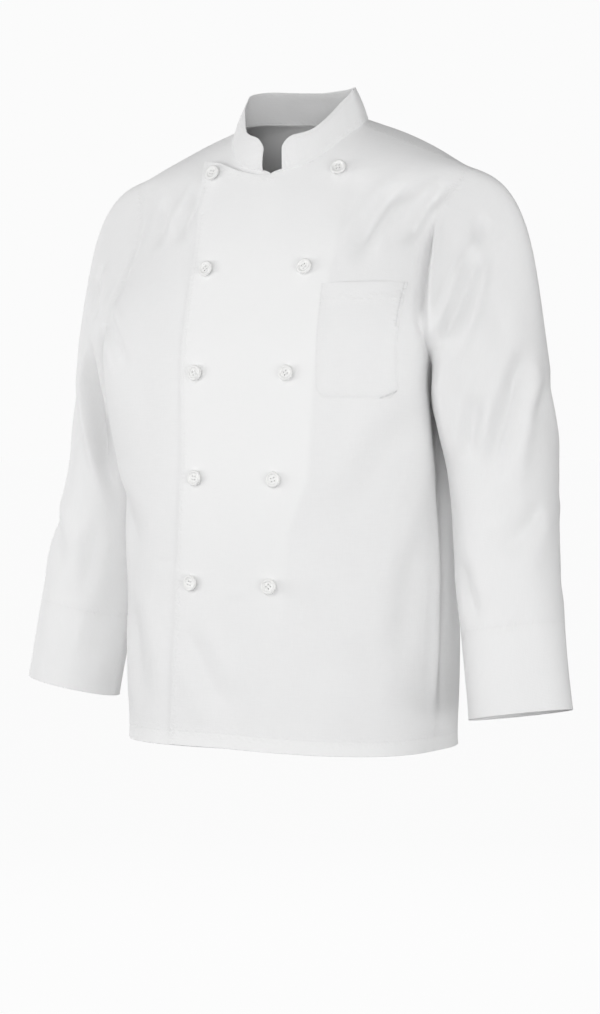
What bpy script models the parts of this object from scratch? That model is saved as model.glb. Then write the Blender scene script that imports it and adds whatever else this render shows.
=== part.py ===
"""Double-breasted chef jacket, worn open-handed on a general figure that isn't there.

Metres, +Z up. The jacket faces -Y, and +X is the wearer's left. The origin is the middle of the
neck at the height of the two highest shoulder points. Each cloth piece is one wall of even
thickness between an outer sheet and a copy of it moved in along the sheet's normals.
"""

import math

import bmesh
import bpy
import numpy as np
from mathutils import Vector

# Driving dimensions
WALL = 0.0015  # cloth with its turned-in seam allowances
SEAM_TRIM = 0.0002  # each piece stops this far short of the seam line
SEAM_ALIKE = 0.1  # cosine between two pieces at a seam: from here they share one direction
SEAM_APART = -0.5  # and to here each keeps its own
LAP_DROP = WALL + 0.0009  # how far the under front lies below the outer front
LAP_DROP_LOW = -0.060  # it rises to the neckline between these two heights
LAP_DROP_HIGH = -0.020
LAP_LIFT = 0.0030  # how far the lap's top corner stands off
LAP_LIFT_LOW = -0.150  # and the height where it starts to
LAP_RAMP = 0.030  # width over which the under front sinks to that depth
COLLAR_HEIGHT = 0.037
COLLAR_FRONT = 0.0165  # from the middle of the front to the collar's end
COLLAR_CORNER = 0.016  # radius of the collar's rounded front corner
COLLAR_LEAN = 0.40  # how much the collar leans in at the sides and back, per unit of height
COLLAR_LEAN_FRONT = 0.05
COLLAR_LEAN_RUN = 0.085  # distance from the collar's end to where it leans fully
CORNER_STEPS = (0.0, 0.06, 0.16, 0.32, 0.60)  # shares of that radius where the round has a point
CORNER_CUT = 0.94  # a little short of a whole quarter round, so that the end keeps an edge
BUTTON_RADIUS = 0.0095
BUTTON_THICK = 0.0032
BUTTON_SEAT = 0.0004
POCKET_WALL = 0.0012
POCKET_GAP = 0.0006
HEM_FRONT = -0.733  # height of the hem at the middle of the front
HEM_SIDE = -0.737
HEM_HALF = 0.200  # half the hem's width

# Mesh density
CURVE_POINTS = 48  # of the curve from the middle of a section to its turn
SIDE_POINTS = 12  # and of the straight from there to its edge
SECTION_POINTS = 96  # of the even line made of both, that the cells are set out on
FINE_ROWS = 120  # of the looked-up front surface
FINE_ACROSS = 140
TURN_SOFTENING = 12
ACROSS = 18  # cells from the middle of a panel to its side
SIDE_SHARE = 0.25  # share of those cells that lie past the turn to the side
SIDE_CELL = 0.009  # and their least width
ROWS_SIDE = 11  # cells from hem to underarm
ROWS_CHEST = 9  # cells from underarm to the bottom of the front neckline
ROWS_YOKE = 6  # cells from there to the shoulder seam
LAP_CELLS = 6
COLLAR_ROWS = 3
BUTTON_SIDES = 14
CAP_RINGS = 7
ARM_RINGS = 12

# Half panels, hem to shoulder seam. mid = edge at the middle (or neckline), turn = the line where
# the panel turns towards the side, edge = side seam and then armhole. "round" is the exponent of
# the section between mid and turn: 2 is an ellipse, more is squarer. "sweep" is how far round
# that curve it goes, in degrees: 90 ends facing sideways. "crown" is how far the line's middle
# rises over its two ends.
FRONT = (
    # mid x, y, z          turn x, y, z             edge x, y, z      round, sweep, crown
    (0.000, -0.157, -0.733, 0.2000, -0.022, -0.737, 0.2000, -0.018, -0.737, 2.50, 90, 0.000),
    (0.000, -0.150, -0.600, 0.2070, -0.021, -0.600, 0.2055, -0.015, -0.600, 2.50, 90, 0.000),
    (0.000, -0.141, -0.475, 0.2100, -0.031, -0.475, 0.1995, -0.010, -0.475, 2.50, 90, 0.000),
    (0.000, -0.135, -0.410, 0.2180, -0.050, -0.410, 0.1970, -0.007, -0.410, 2.50, 90, 0.000),
    (0.000, -0.128, -0.345, 0.2250, -0.075, -0.345, 0.1920, -0.003, -0.345, 2.50, 90, 0.000),
    (0.000, -0.123, -0.300, 0.2275, -0.090, -0.305, 0.1930, 0.000, -0.312, 2.50, 90, 0.000),
    (0.000, -0.117, -0.260, 0.2275, -0.093, -0.265, 0.2190, -0.060, -0.281, 2.40, 90, 0.000),
    (0.000, -0.108, -0.225, 0.2225, -0.088, -0.235, 0.2220, -0.085, -0.238, 2.30, 84, 0.000),
    (0.000, -0.093, -0.172, 0.2105, -0.060, -0.180, 0.2110, -0.059, -0.180, 2.15, 72, 0.000),
    (0.000, -0.077, -0.116, 0.2050, -0.036, -0.132, 0.2060, -0.035, -0.132, 2.00, 64, 0.000),
    (0.000, -0.060, -0.063, 0.2115, -0.019, -0.097, 0.2125, -0.018, -0.097, 1.90, 58, 0.000),
    (0.050, -0.047, -0.047, 0.2220, -0.008, -0.076, 0.2230, -0.007, -0.076, 1.90, 58, 0.000),
    (0.078, -0.022, -0.019, 0.2300, 0.001, -0.063, 0.2310, 0.001, -0.063, 1.95, 60, 0.000),
    (0.089, 0.004, 0.000, 0.2340, 0.010, -0.058, 0.2350, 0.010, -0.058, 2.00, 60, 0.000),
)
BACK = (
    # mid x, y, z         turn x, y, z             edge x, y, z      round, sweep, crown
    (0.000, 0.124, -0.742, 0.2000, -0.014, -0.737, 0.2000, -0.018, -0.737, 2.90, 90, 0.000),
    (0.000, 0.118, -0.600, 0.2060, -0.010, -0.600, 0.2055, -0.015, -0.600, 2.80, 90, 0.000),
    (0.000, 0.109, -0.475, 0.2020, 0.004, -0.475, 0.1995, -0.010, -0.475, 2.60, 90, 0.000),
    (0.000, 0.109, -0.410, 0.2020, 0.034, -0.410, 0.1970, -0.007, -0.410, 2.40, 90, 0.000),
    (0.000, 0.113, -0.345, 0.2030, 0.064, -0.345, 0.1920, -0.003, -0.345, 2.40, 90, 0.000),
    (0.000, 0.117, -0.300, 0.2100, 0.078, -0.305, 0.1930, 0.000, -0.312, 2.40, 90, 0.000),
    (0.000, 0.120, -0.260, 0.2160, 0.084, -0.265, 0.2120, 0.058, -0.281, 2.30, 90, 0.000),
    (0.000, 0.121, -0.225, 0.2160, 0.085, -0.230, 0.2155, 0.081, -0.238, 2.30, 84, 0.000),
    (0.000, 0.119, -0.165, 0.2055, 0.073, -0.178, 0.2060, 0.072, -0.178, 2.20, 72, 0.000),
    (0.000, 0.108, -0.090, 0.2045, 0.055, -0.130, 0.2050, 0.054, -0.130, 2.10, 66, 0.002),
    (0.000, 0.076, 0.004, 0.2125, 0.038, -0.094, 0.2135, 0.037, -0.094, 2.00, 62, 0.006),
    (0.045, 0.064, 0.006, 0.2225, 0.028, -0.075, 0.2235, 0.027, -0.075, 2.00, 60, 0.010),
    (0.076, 0.037, 0.007, 0.2305, 0.019, -0.062, 0.2315, 0.019, -0.062, 2.00, 60, 0.008),
    (0.089, 0.004, 0.000, 0.2340, 0.010, -0.058, 0.2350, 0.010, -0.058, 2.00, 60, 0.000),
)
LEVEL_UNDERARM = 5
LEVEL_NECK = 10
LEVEL_TOP = 13

# The sleeve below the armpit, towards the cuff: centre of each section and its half sizes
ARM = (
    # x, y, z              across, deep
    (0.2650, 0.017, -0.332, 0.0640, 0.0700),
    (0.2725, 0.018, -0.385, 0.0620, 0.0680),
    (0.2800, 0.009, -0.445, 0.0610, 0.0640),
    (0.2885, -0.003, -0.503, 0.0620, 0.0600),
    (0.2985, -0.013, -0.562, 0.0620, 0.0550),
    (0.3090, -0.020, -0.628, 0.0625, 0.0500),
    (0.3185, -0.025, -0.687, 0.0635, 0.0470),
)

# Soft folds of the body: a trough from start to end
FOLD_FADE = 0.125  # share of a panel's width in which folds run out at its seams
FOLD_END = 0.08  # how much of a fold's wave is left off at each end
BODY_FOLDS = (
    # side, start x, z, end x, z, width, depth
    ("front", 0.165, -0.080, 0.105, -0.150, 0.020, 0.0030),
    ("front", 0.188, -0.078, 0.172, -0.135, 0.016, 0.0025),
    ("front", 0.200, -0.420, 0.120, -0.520, 0.034, 0.0035),
    ("front", 0.150, -0.540, 0.120, -0.660, 0.036, 0.0035),
    ("back", 0.175, -0.130, 0.140, -0.300, 0.028, 0.0045),
    ("back", 0.180, -0.430, 0.110, -0.520, 0.032, 0.0040),
    ("back", 0.080, -0.480, 0.060, -0.640, 0.036, 0.0035),
)
# Soft folds of a sleeve: turns round the arm from the outer side towards the front, and distance
# down the sleeve, 0 at the armhole and 1 at the cuff
SLEEVE_GIRTH = 0.40
SLEEVE_LENGTH = 0.62
SLEEVE_FOLDS = (
    # start turn, down, end turn, down, width, depth
    (0.22, 0.24, 0.34, 0.40, 0.020, 0.0060),
    (0.12, 0.46, 0.24, 0.60, 0.019, 0.0045),
    (0.28, 0.52, 0.36, 0.62, 0.018, 0.0035),
    (0.66, 0.42, 0.78, 0.54, 0.020, 0.0045),
    (0.62, 0.58, 0.74, 0.68, 0.018, 0.0035),
    (0.56, 0.30, 0.70, 0.36, 0.020, 0.0045),
)

# How the sleeve leaves the armhole and how it runs into the arm: at the tip and at the underarm
CAP_LEAVE_TIP = (0.29, 0.0, -0.040)
CAP_LEAVE_UNDER = (0.020, 0.0, -0.034)
CAP_FORWARD = -0.035
CAP_ARRIVE_TIP = 0.26
CAP_ARRIVE_UNDER = 0.045
ARM_START_HEADING = (0.12, 0.10, -1.0)

# Outer front's free edge past the middle, and its top edge, both in the surface's (x, z)
LAP_Z = (-0.737, -0.542, -0.419, -0.296, -0.172, -0.045)
LAP_EDGE = (0.083, 0.080, 0.080, 0.088, 0.095, 0.108)
LAP_TOP_X = (0.000, 0.020, 0.050, 0.080, 0.108)
LAP_TOP_Z = (-0.063, -0.062, -0.056, -0.047, -0.045)
UNDER_SHORTFALL = 0.012  # the under front stops this much nearer the middle
UNDER_TOP_X = (0.000, 0.020, 0.050, 0.080, 0.108)
UNDER_TOP_Z = (-0.064, -0.066, -0.068, -0.072, -0.076)

BUTTON_ROWS = (  # height and distance from the middle
    (-0.0580, 0.0875),
    (-0.1740, 0.0695),
    (-0.2970, 0.0640),
    (-0.4200, 0.0550),
    (-0.5430, 0.0550),
)

POCKET_TOP = (-0.193, 0.094, 0.1990)  # height, inner and outer side
POCKET_BOTTOM = (-0.326, 0.103, 0.2050)
POCKET_CELLS = (7, 8)
POCKET_MITRE = 0.010

COTTON = (0.86, 0.865, 0.87, 1.0)
BUTTON_WHITE = (0.88, 0.88, 0.87, 1.0)


def clear_scene():
    for obj in list(bpy.data.objects):
        bpy.data.objects.remove(obj, do_unlink=True)


def cubic(knots, values, at):
    """A smooth curve through rows of values at rising knots, which never overshoots them."""
    knots = np.asarray(knots, float)
    values = np.asarray(values, float)
    gaps = np.diff(knots).reshape((-1,) + (1,) * (values.ndim - 1))
    rise = np.diff(values, axis=0) / gaps
    before, after = rise[:-1], rise[1:]
    turning = before * after <= 0
    safe = np.where(turning, 1.0, before + after)
    slopes = np.concatenate([rise[:1], np.where(turning, 0.0, 2 * before * after / safe), rise[-1:]])
    at = np.clip(np.asarray(at, float), knots[0], knots[-1])
    i = np.clip(np.searchsorted(knots, at, side="right") - 1, 0, len(knots) - 2)
    span = knots[i + 1] - knots[i]
    t = (at - knots[i]) / span
    if values.ndim > 1:
        t = t[..., None]
        span = span[..., None]
    start = values[i] * (1 + 2 * t) * (1 - t) ** 2 + slopes[i] * span * t * (1 - t) ** 2
    end = values[i + 1] * t * t * (3 - 2 * t) + slopes[i + 1] * span * t * t * (t - 1)
    return start + end


def smooth(t):
    t = np.clip(t, 0.0, 1.0)
    return t * t * (3 - 2 * t)


def unit(vectors):
    return vectors / np.linalg.norm(vectors, axis=-1, keepdims=True)


def table_knots():
    """Knots of the panel rows: the mean length run along both edges, the same on front and back."""
    lengths = np.zeros(len(FRONT) - 1)
    for table in (FRONT, BACK):
        rows = np.array(table)
        mid = np.linalg.norm(np.diff(rows[:, 0:3], axis=0), axis=1)
        edge = np.linalg.norm(np.diff(rows[:, 6:9], axis=0), axis=1)
        lengths += mid + edge
    return np.concatenate([[0], np.cumsum(lengths)])


KNOTS = table_knots()


def run_along(points):
    """Distance along a line of points at each of them."""
    steps = np.linalg.norm(np.diff(points, axis=0), axis=1)
    return np.concatenate([[0], np.cumsum(steps)])


def points_at(points, at):
    """Points at given distances along a line of points."""
    run = run_along(points)
    return np.stack([np.interp(at, run, points[:, k]) for k in range(3)], axis=1)


def resample(points, count):
    """count + 1 points at even distances along a line of points."""
    return points_at(points, np.linspace(0, run_along(points)[-1], count + 1))


def spread(points, turn_share, across, side_cells):
    """Points across a half panel: the last side_cells of them past the turn to the side."""
    length = run_along(points)[-1]
    split = min(turn_share * length, length - side_cells * SIDE_CELL)
    first = np.linspace(0, split, across - side_cells + 1)
    last = np.linspace(split, length, side_cells + 1)[1:]
    return points_at(points, np.concatenate([first, last]))


def round_off(points, passes):
    """Softens the turn of a section and keeps its two ends."""
    for _ in range(passes):
        points[1:-1] = (points[:-2] + 2 * points[1:-1] + points[2:]) / 4
    return points


def section(row):
    """One line across a half panel, from the middle edge to the side edge."""
    mid, turn, edge = row[0:3], row[3:6], row[6:9]
    squareness, sweep, crown = row[9:12]
    t = np.radians(np.linspace(0, sweep, CURVE_POINTS + 1))
    out = np.sin(t) ** (2 / squareness)
    out = out / out[-1]
    fall = np.maximum(np.cos(t), 0) ** (2 / squareness)
    fall = (fall - fall[-1]) / (1 - fall[-1])
    front = np.stack(
        [
            mid[0] + (turn[0] - mid[0]) * out,
            turn[1] + (mid[1] - turn[1]) * fall,
            mid[2] + (turn[2] - mid[2]) * out + crown * np.sin(math.pi * out),
        ],
        axis=1,
    )
    side = turn + (edge - turn) * np.linspace(0, 1, SIDE_POINTS + 1)[1:, None]
    whole = np.concatenate([front, side])
    turn_share = run_along(front)[-1] / run_along(whole)[-1]
    return round_off(resample(whole, SECTION_POINTS), TURN_SOFTENING), turn_share


def fold_push(points, side):
    """How far the body's folds sink each point of a half panel."""
    push = np.zeros(len(points))
    for which, x0, z0, x1, z1, width, depth in BODY_FOLDS:
        if which != side:
            continue
        start = np.array([x0, z0])
        along = np.array([x1, z1]) - start
        p = points[:, [0, 2]] - start
        t = np.clip(p @ along / (along @ along), 0, 1)
        away = np.linalg.norm(p - t[:, None] * along, axis=1)
        wave = np.sin(math.pi * (FOLD_END + (1 - 2 * FOLD_END) * t))
        push += depth * np.exp(-((away / width) ** 2)) * wave
    return push


def panel_rows(table, side, levels, across):
    """Grid of points of a half panel on the wearer's left, one line for each level."""
    rows = cubic(KNOTS, np.array(table), np.interp(levels, range(len(KNOTS)), KNOTS))
    sections = [section(row) for row in rows]
    dense = np.stack([line for line, _ in sections])
    normals = grid_normals(dense)
    if side == "back":
        normals = -normals
    inner = smooth(np.linspace(0, 1, dense.shape[1]) / FOLD_FADE)
    outer = inner[::-1]
    for i, line in enumerate(dense):
        push = fold_push(line, side) * outer * inner
        dense[i] = line - normals[i] * push[:, None]
    side_cells = round(across * SIDE_SHARE)
    turns = [turn_share for _, turn_share in sections]
    return np.stack([spread(line, turn, across, side_cells) for line, turn in zip(dense, turns)])


def grid_normals(grid):
    """Unit normals of a grid, from the middle edge to the side and upwards: out at the front."""
    along = np.gradient(grid, axis=1)
    up = np.gradient(grid, axis=0)
    return unit(np.cross(along, up))


def levels_between(first, last, count):
    """Levels at even distances along the panel, the first one left out."""
    at = np.linspace(KNOTS[first], KNOTS[last], count + 1)[1:]
    return np.interp(at, KNOTS, range(len(KNOTS)))


def panel_levels():
    return np.concatenate(
        [
            [0.0],
            levels_between(0, LEVEL_UNDERARM, ROWS_SIDE),
            levels_between(LEVEL_UNDERARM, LEVEL_NECK, ROWS_CHEST),
            levels_between(LEVEL_NECK, LEVEL_TOP, ROWS_YOKE),
        ]
    )


class FrontSurface:
    """Looks up the front's depth at any (x, z) of the wearer's left half, mirrored for the right."""

    def __init__(self):
        levels = np.interp(np.linspace(0, KNOTS[-1], FINE_ROWS), KNOTS, range(len(KNOTS)))
        self.grid = panel_rows(FRONT, "front", levels, FINE_ACROSS)

    def point(self, x, z):
        side = abs(x)
        column = []
        for line in self.grid:
            turn = int(np.argmax(line[:, 0]))
            if line[0, 0] <= side <= line[turn, 0]:
                column.append(
                    [np.interp(side, line[: turn + 1, 0], line[: turn + 1, k]) for k in (1, 2)]
                )
        column = np.array(column)
        order = np.argsort(column[:, 1])
        depth = np.interp(z, column[order, 1], column[order, 0])
        low = column[order[0]]
        if z < low[1]:
            depth = low[0]
        return np.array([x, depth, z])

    def normal(self, x, z, step=0.004):
        right = self.point(x + step, z) - self.point(x - step, z)
        up = self.point(x, z + step) - self.point(x, z - step)
        return unit(np.cross(right, up))


SURFACE = FrontSurface()


class Sheet:
    """An open sheet of cells, joined where its grids share points."""

    def __init__(self, name):
        self.name = name
        self.points = []
        self.cells = []
        self.index = {}

    def vertex(self, point):
        key = tuple(np.round(point, 6))
        if key not in self.index:
            self.index[key] = len(self.points)
            self.points.append(np.array(point, float))
        return self.index[key]

    def add_grid(self, grid, flip=False):
        ids = [[self.vertex(p) for p in line] for line in grid]
        for low, high in zip(ids, ids[1:]):
            for k in range(len(low) - 1):
                cell = [low[k], low[k + 1], high[k + 1], high[k]]
                cell = [v for n, v in enumerate(cell) if v != cell[n - 1]]
                if len(cell) > 2:
                    self.cells.append(cell[::-1] if flip else cell)

    def normals(self):
        total = np.zeros((len(self.points), 3))
        points = np.array(self.points)
        for cell in self.cells:
            corners = points[cell]
            across = np.cross(corners[2] - corners[0], corners[-1] - corners[1])
            total[cell] += across
        return unit(total)

    def rim(self):
        """Edges that only one cell has, in that cell's direction."""
        seen = {}
        for cell in self.cells:
            for a, b in zip(cell, cell[1:] + cell[:1]):
                seen[(a, b)] = True
        return [(a, b) for a, b in seen if (b, a) not in seen]


def shared_normals(sheets):
    """Normals of each sheet, averaged where sheets meet so that their walls run side by side."""
    own = {sheet.name: sheet.normals() for sheet in sheets}
    total = {}
    for sheet in sheets:
        for key, i in sheet.index.items():
            total.setdefault(key, []).append(own[sheet.name][i])
    for sheet in sheets:
        mine = own[sheet.name]
        for key, i in sheet.index.items():
            met = total[key]
            if len(met) < 2:
                continue
            mean = np.mean(met, axis=0)
            agree = smooth((min(mine[i] @ other for other in met) - SEAM_APART) / (SEAM_ALIKE - SEAM_APART))
            mine[i] = unit(mine[i] * (1 - agree) + mean * agree)
    return own


def trimmed(sheet, normals):
    """The points with each one on the rim moved in by SEAM_TRIM, square to the rim."""
    points = np.array(sheet.points)
    inward = np.zeros_like(points)
    for a, b in sheet.rim():
        along = points[b] - points[a]
        square = np.cross(normals[a] + normals[b], along)
        inward[a] += unit(square)
        inward[b] += unit(square)
    moved = np.linalg.norm(inward, axis=1) > 1e-6
    length = np.linalg.norm(inward[moved], axis=1, keepdims=True)
    points[moved] += inward[moved] / length * SEAM_TRIM * np.clip(2 / length, 1, 1.6)
    return points


def triangles(cells, points):
    """Each cell cut along its shorter diagonal, so that both faces of a wall turn alike."""
    for cell in cells:
        if len(cell) == 3:
            yield cell
            continue
        a, b, c, d = cell
        if np.linalg.norm(points[a] - points[c]) < np.linalg.norm(points[b] - points[d]):
            yield [a, b, c]
            yield [a, c, d]
        else:
            yield [a, b, d]
            yield [b, c, d]


def build_wall(sheet, normals, thickness, material):
    points = trimmed(sheet, normals)
    mesh = bpy.data.meshes.new(sheet.name)
    shape = bmesh.new()
    outer = [shape.verts.new(p) for p in points]
    inner = [shape.verts.new(p - n * thickness) for p, n in zip(points, normals)]
    for corners in triangles(sheet.cells, points):
        shape.faces.new([outer[v] for v in corners])
        shape.faces.new([inner[v] for v in reversed(corners)])
    for a, b in sheet.rim():
        shape.faces.new([outer[b], outer[a], inner[a], inner[b]])
    shape.to_mesh(mesh)
    shape.free()
    return add_object(sheet.name, mesh, material)


def add_object(name, mesh, material):
    mesh.materials.append(material)
    mesh.shade_smooth()
    mesh.set_sharp_from_angle(angle=math.radians(40))
    obj = bpy.data.objects.new(name, mesh)
    bpy.context.scene.collection.objects.link(obj)
    return obj


def mirror(grid):
    return grid * np.array([-1.0, 1.0, 1.0])


def lap_grid(levels, side, edge_of, top_x, top_z):
    """The stretch of a front past the middle: side is +1 on the wearer's left, -1 on the right."""
    neck_row = ROWS_SIDE + ROWS_CHEST
    middle = panel_rows(FRONT, "front", levels[: neck_row + 1], ACROSS)[:, 0]
    share = (middle[:, 2] - middle[0, 2]) / (middle[-1, 2] - middle[0, 2])
    grid = np.zeros((neck_row + 1, LAP_CELLS + 1, 3))
    for i, part in enumerate(share):
        height = middle[i, 2]
        reach = edge_of(height)
        for k in range(LAP_CELLS + 1):
            x = reach * k / LAP_CELLS
            hem = HEM_FRONT + (HEM_SIDE - HEM_FRONT) * (x / HEM_HALF) ** 1.5
            top = np.interp(x, top_x, top_z)
            z = hem + part * (top - hem)
            grid[i, k] = SURFACE.point(side * x, z)
            if side < 0:
                grid[i, k] += SURFACE.normal(side * x, z) * lap_lift(x, z)
        grid[i, 0] = middle[i]
    return grid


def lap_lift(x, z):
    """How far the outer front stands off the surface near the lap's top corner."""
    up = smooth((z - LAP_LIFT_LOW) / (LAP_TOP_Z[-1] - LAP_LIFT_LOW))
    return LAP_LIFT * up * smooth(x / lap_edge(z))


def lap_edge(height):
    return float(cubic(LAP_Z, LAP_EDGE, height))


def under_edge(height):
    return lap_edge(height) - UNDER_SHORTFALL


def make_panels(levels):
    front = panel_rows(FRONT, "front", levels, ACROSS)
    back = panel_rows(BACK, "back", levels, ACROSS)
    share_seams(front, back)
    left = Sheet("front_left")
    left.add_grid(front)
    left.add_grid(lap_grid(levels, -1, lap_edge, LAP_TOP_X, LAP_TOP_Z), flip=True)
    right = Sheet("front_right")
    right.add_grid(mirror(front), flip=True)
    right.add_grid(lap_grid(levels, 1, under_edge, UNDER_TOP_X, UNDER_TOP_Z))
    rear = Sheet("back")
    rear.add_grid(back, flip=True)
    rear.add_grid(mirror(back))
    return front, back, left, right, rear


def share_seams(front, back):
    """Gives front and back the same points along the side seam and the shoulder seam."""
    seam = (front[: ROWS_SIDE + 1, -1] + back[: ROWS_SIDE + 1, -1]) / 2
    front[: ROWS_SIDE + 1, -1] = seam
    back[: ROWS_SIDE + 1, -1] = seam
    shoulder = (front[-1] + back[-1]) / 2
    front[-1] = shoulder
    back[-1] = shoulder


def lap_depth(point):
    """How far the under front lies below the surface: all of it under the outer front."""
    edge = -lap_edge(point[2])
    across = smooth((point[0] - (edge - LAP_RAMP)) / LAP_RAMP)
    return LAP_DROP * across * smooth((LAP_DROP_HIGH - point[2]) / (LAP_DROP_HIGH - LAP_DROP_LOW))


def sink_under_front(sheet, normals):
    """The under front lies below the outer front, and rises to the surface past its edge."""
    for i, point in enumerate(sheet.points):
        sheet.points[i] = point - normals[i] * lap_depth(point)


def armhole_ring(front, back):
    """Points round the left armhole: from the shoulder tip down the front, and up the back."""
    down = front[ROWS_SIDE:, -1][::-1]
    up = back[ROWS_SIDE:, -1]
    return np.concatenate([down, up[1:]])


def ring_turns(ring):
    """Share of a turn at each ring point: 0 at the tip, a half at the underarm, 1 at the tip."""
    half = len(ring) // 2
    run = run_along(ring)
    front = run[: half + 1] / run[half] / 2
    back = 0.5 + (run[half + 1 :] - run[half]) / (run[-1] - run[half]) / 2
    return np.concatenate([front, back])


def arm_sections(turns, count):
    """Rings of the sleeve below the armpit, with the arm's direction at each."""
    table = np.array(ARM)
    run = run_along(table[:, :3])
    at = np.linspace(0, run[-1], count + 1)
    rows = cubic(run, table, at)
    heading = unit(np.gradient(rows[:, :3], at, axis=0))
    heading[0] = unit(np.array(ARM_START_HEADING))
    rings = []
    for row, down in zip(rows, heading):
        outward = unit(np.array([1.0, 0, 0]) - down * down[0])
        forward = np.cross(down, outward)
        if forward[1] > 0:
            forward = -forward
        angle = turns * 2 * math.pi
        rings.append(
            row[:3]
            + outward * (row[3] * np.cos(angle))[:, None]
            + forward * (row[4] * np.sin(angle))[:, None]
        )
    return np.array(rings), heading


def cap_rings(ring, turns, first_section, heading, count):
    """The sleeve's head: each line leaves the armhole and turns down into the arm."""
    outer = ((1 + np.cos(turns * 2 * math.pi)) / 2)[:, None]
    forward = np.sin(turns * 2 * math.pi)[:, None] * np.array([0.0, CAP_FORWARD, 0.0])
    leave = outer * (np.array(CAP_LEAVE_TIP) + forward) + (1 - outer) * np.array(CAP_LEAVE_UNDER)
    arrive = heading * (outer * CAP_ARRIVE_TIP + (1 - outer) * CAP_ARRIVE_UNDER)
    rings = []
    for s in np.linspace(0, 1, count + 1):
        rings.append(
            ring * (1 + 2 * s) * (1 - s) ** 2
            + leave * s * (1 - s) ** 2
            + first_section * s * s * (3 - 2 * s)
            + arrive * s * s * (s - 1)
        )
    return np.array(rings)


def sleeve_grid(ring):
    turns = ring_turns(ring)
    arm, heading = arm_sections(turns, ARM_RINGS)
    cap = cap_rings(ring, turns, arm[0], heading[0], CAP_RINGS)
    grid = np.concatenate([cap, arm[1:]])
    return sleeve_folds(grid, turns)


def sleeve_folds(grid, turns):
    down = np.linspace(0, 1, len(grid))[:, None]
    inward = unit(grid.mean(axis=1, keepdims=True) - grid)
    push = np.zeros(grid.shape[:2])
    for t0, d0, t1, d1, width, depth in SLEEVE_FOLDS:
        along = np.array([(t1 - t0) * SLEEVE_GIRTH, (d1 - d0) * SLEEVE_LENGTH])
        px = (turns[None, :] - t0) * SLEEVE_GIRTH
        py = (down - d0) * SLEEVE_LENGTH
        t = np.clip((px * along[0] + py * along[1]) / (along @ along), 0, 1)
        away = np.hypot(px - t * along[0], py - t * along[1])
        push += depth * np.exp(-((away / width) ** 2))
    push[0] = 0
    return grid + inward * push[..., None]


def make_sleeve(name, ring, mirrored):
    grid = sleeve_grid(ring)
    grid[:, -1] = grid[:, 0]
    sheet = Sheet(name)
    if mirrored:
        sheet.add_grid(mirror(grid), flip=True)
    else:
        sheet.add_grid(grid)
    return sheet


def neck_line(front, back, right_sheet, normals):
    """The neckline from the left front's end round the back to the right front's end."""
    row = ROWS_SIDE + ROWS_CHEST
    left = np.concatenate([front[row:, 0], back[row:, 0][::-1][1:]])
    right = mirror(left)[::-1][1:]
    for i, point in enumerate(right):
        right[i] = sunk(point, normals, right_sheet)
    return np.concatenate([left, right])


def sunk(point, normals, sheet):
    """A point of the right neckline, at the depth that the under front has there."""
    key = tuple(np.round(point, 6))
    if key not in sheet.index:
        return point
    return point - normals[sheet.index[key]] * lap_depth(point)


def make_collar(front, back, right, normals):
    """A stand collar on the neckline, its front corners cut round."""
    line = neck_line(front, back, right, normals)
    run = run_along(line)
    first, last = COLLAR_FRONT, run[-1] - COLLAR_FRONT
    corner = COLLAR_CORNER * np.array(CORNER_STEPS)
    halves = (run[:-1] + run[1:]) / 2
    between = np.concatenate([run, halves])
    between = between[(between > first + COLLAR_CORNER) & (between < last - COLLAR_CORNER)]
    at = np.sort(np.concatenate([first + corner, between, last - corner]))
    base = points_at(line, at) + np.array([0.0, 0.0, SEAM_TRIM])
    from_end = np.minimum(at - at[0], at[-1] - at)
    short = np.clip(1 - from_end / COLLAR_CORNER, 0, 1)
    height = COLLAR_HEIGHT - COLLAR_CORNER * (1 - np.sqrt(1 - CORNER_CUT * short**2))
    along = unit(np.gradient(base, axis=0))
    outward = unit(np.cross(along, np.array([0.0, 0.0, 1.0])))
    outward *= np.sign((outward * (base - base.mean(axis=0))).sum(axis=1))[:, None]
    behind = smooth(from_end / COLLAR_LEAN_RUN)
    steepness = COLLAR_LEAN_FRONT + (COLLAR_LEAN - COLLAR_LEAN_FRONT) * behind
    grid = []
    for share in np.linspace(0, 1, COLLAR_ROWS + 1):
        rise = height * share
        lean = steepness * rise
        grid.append(base - outward * lean[:, None] + np.array([0, 0, 1.0]) * rise[:, None])
    sheet = Sheet("collar")
    sheet.add_grid(np.array(grid), flip=True)
    return sheet


def make_pocket():
    """A patch on the left chest, its lower corners cut off, on the front's own points moved out."""
    cells_x, cells_z = POCKET_CELLS
    grid = np.zeros((cells_z + 1, cells_x + 1, 3))
    for i in range(cells_z + 1):
        up = i / cells_z
        low, high = np.array(POCKET_BOTTOM), np.array(POCKET_TOP)
        height, inner, outer = low + (high - low) * up
        cut = POCKET_MITRE * max(0.0, 1 - up * (high[0] - low[0]) / POCKET_MITRE)
        for k in range(cells_x + 1):
            x = inner + cut + (outer - inner - 2 * cut) * k / cells_x
            out = SURFACE.normal(x, height) * (POCKET_GAP + POCKET_WALL)
            grid[i, k] = SURFACE.point(x, height) + out
    sheet = Sheet("pocket")
    sheet.add_grid(grid)
    return sheet


def button_profile():
    """Outline of a button from its middle to its edge and under: (radius, height)."""
    radius, thick = BUTTON_RADIUS, BUTTON_THICK
    return (
        (0.0, thick * 0.62),
        (radius * 0.52, thick * 0.62),
        (radius * 0.66, thick * 0.95),
        (radius * 0.84, thick),
        (radius, thick * 0.55),
        (radius * 0.86, thick * 0.05),
        (radius * 0.30, 0.0),
    )


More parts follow.
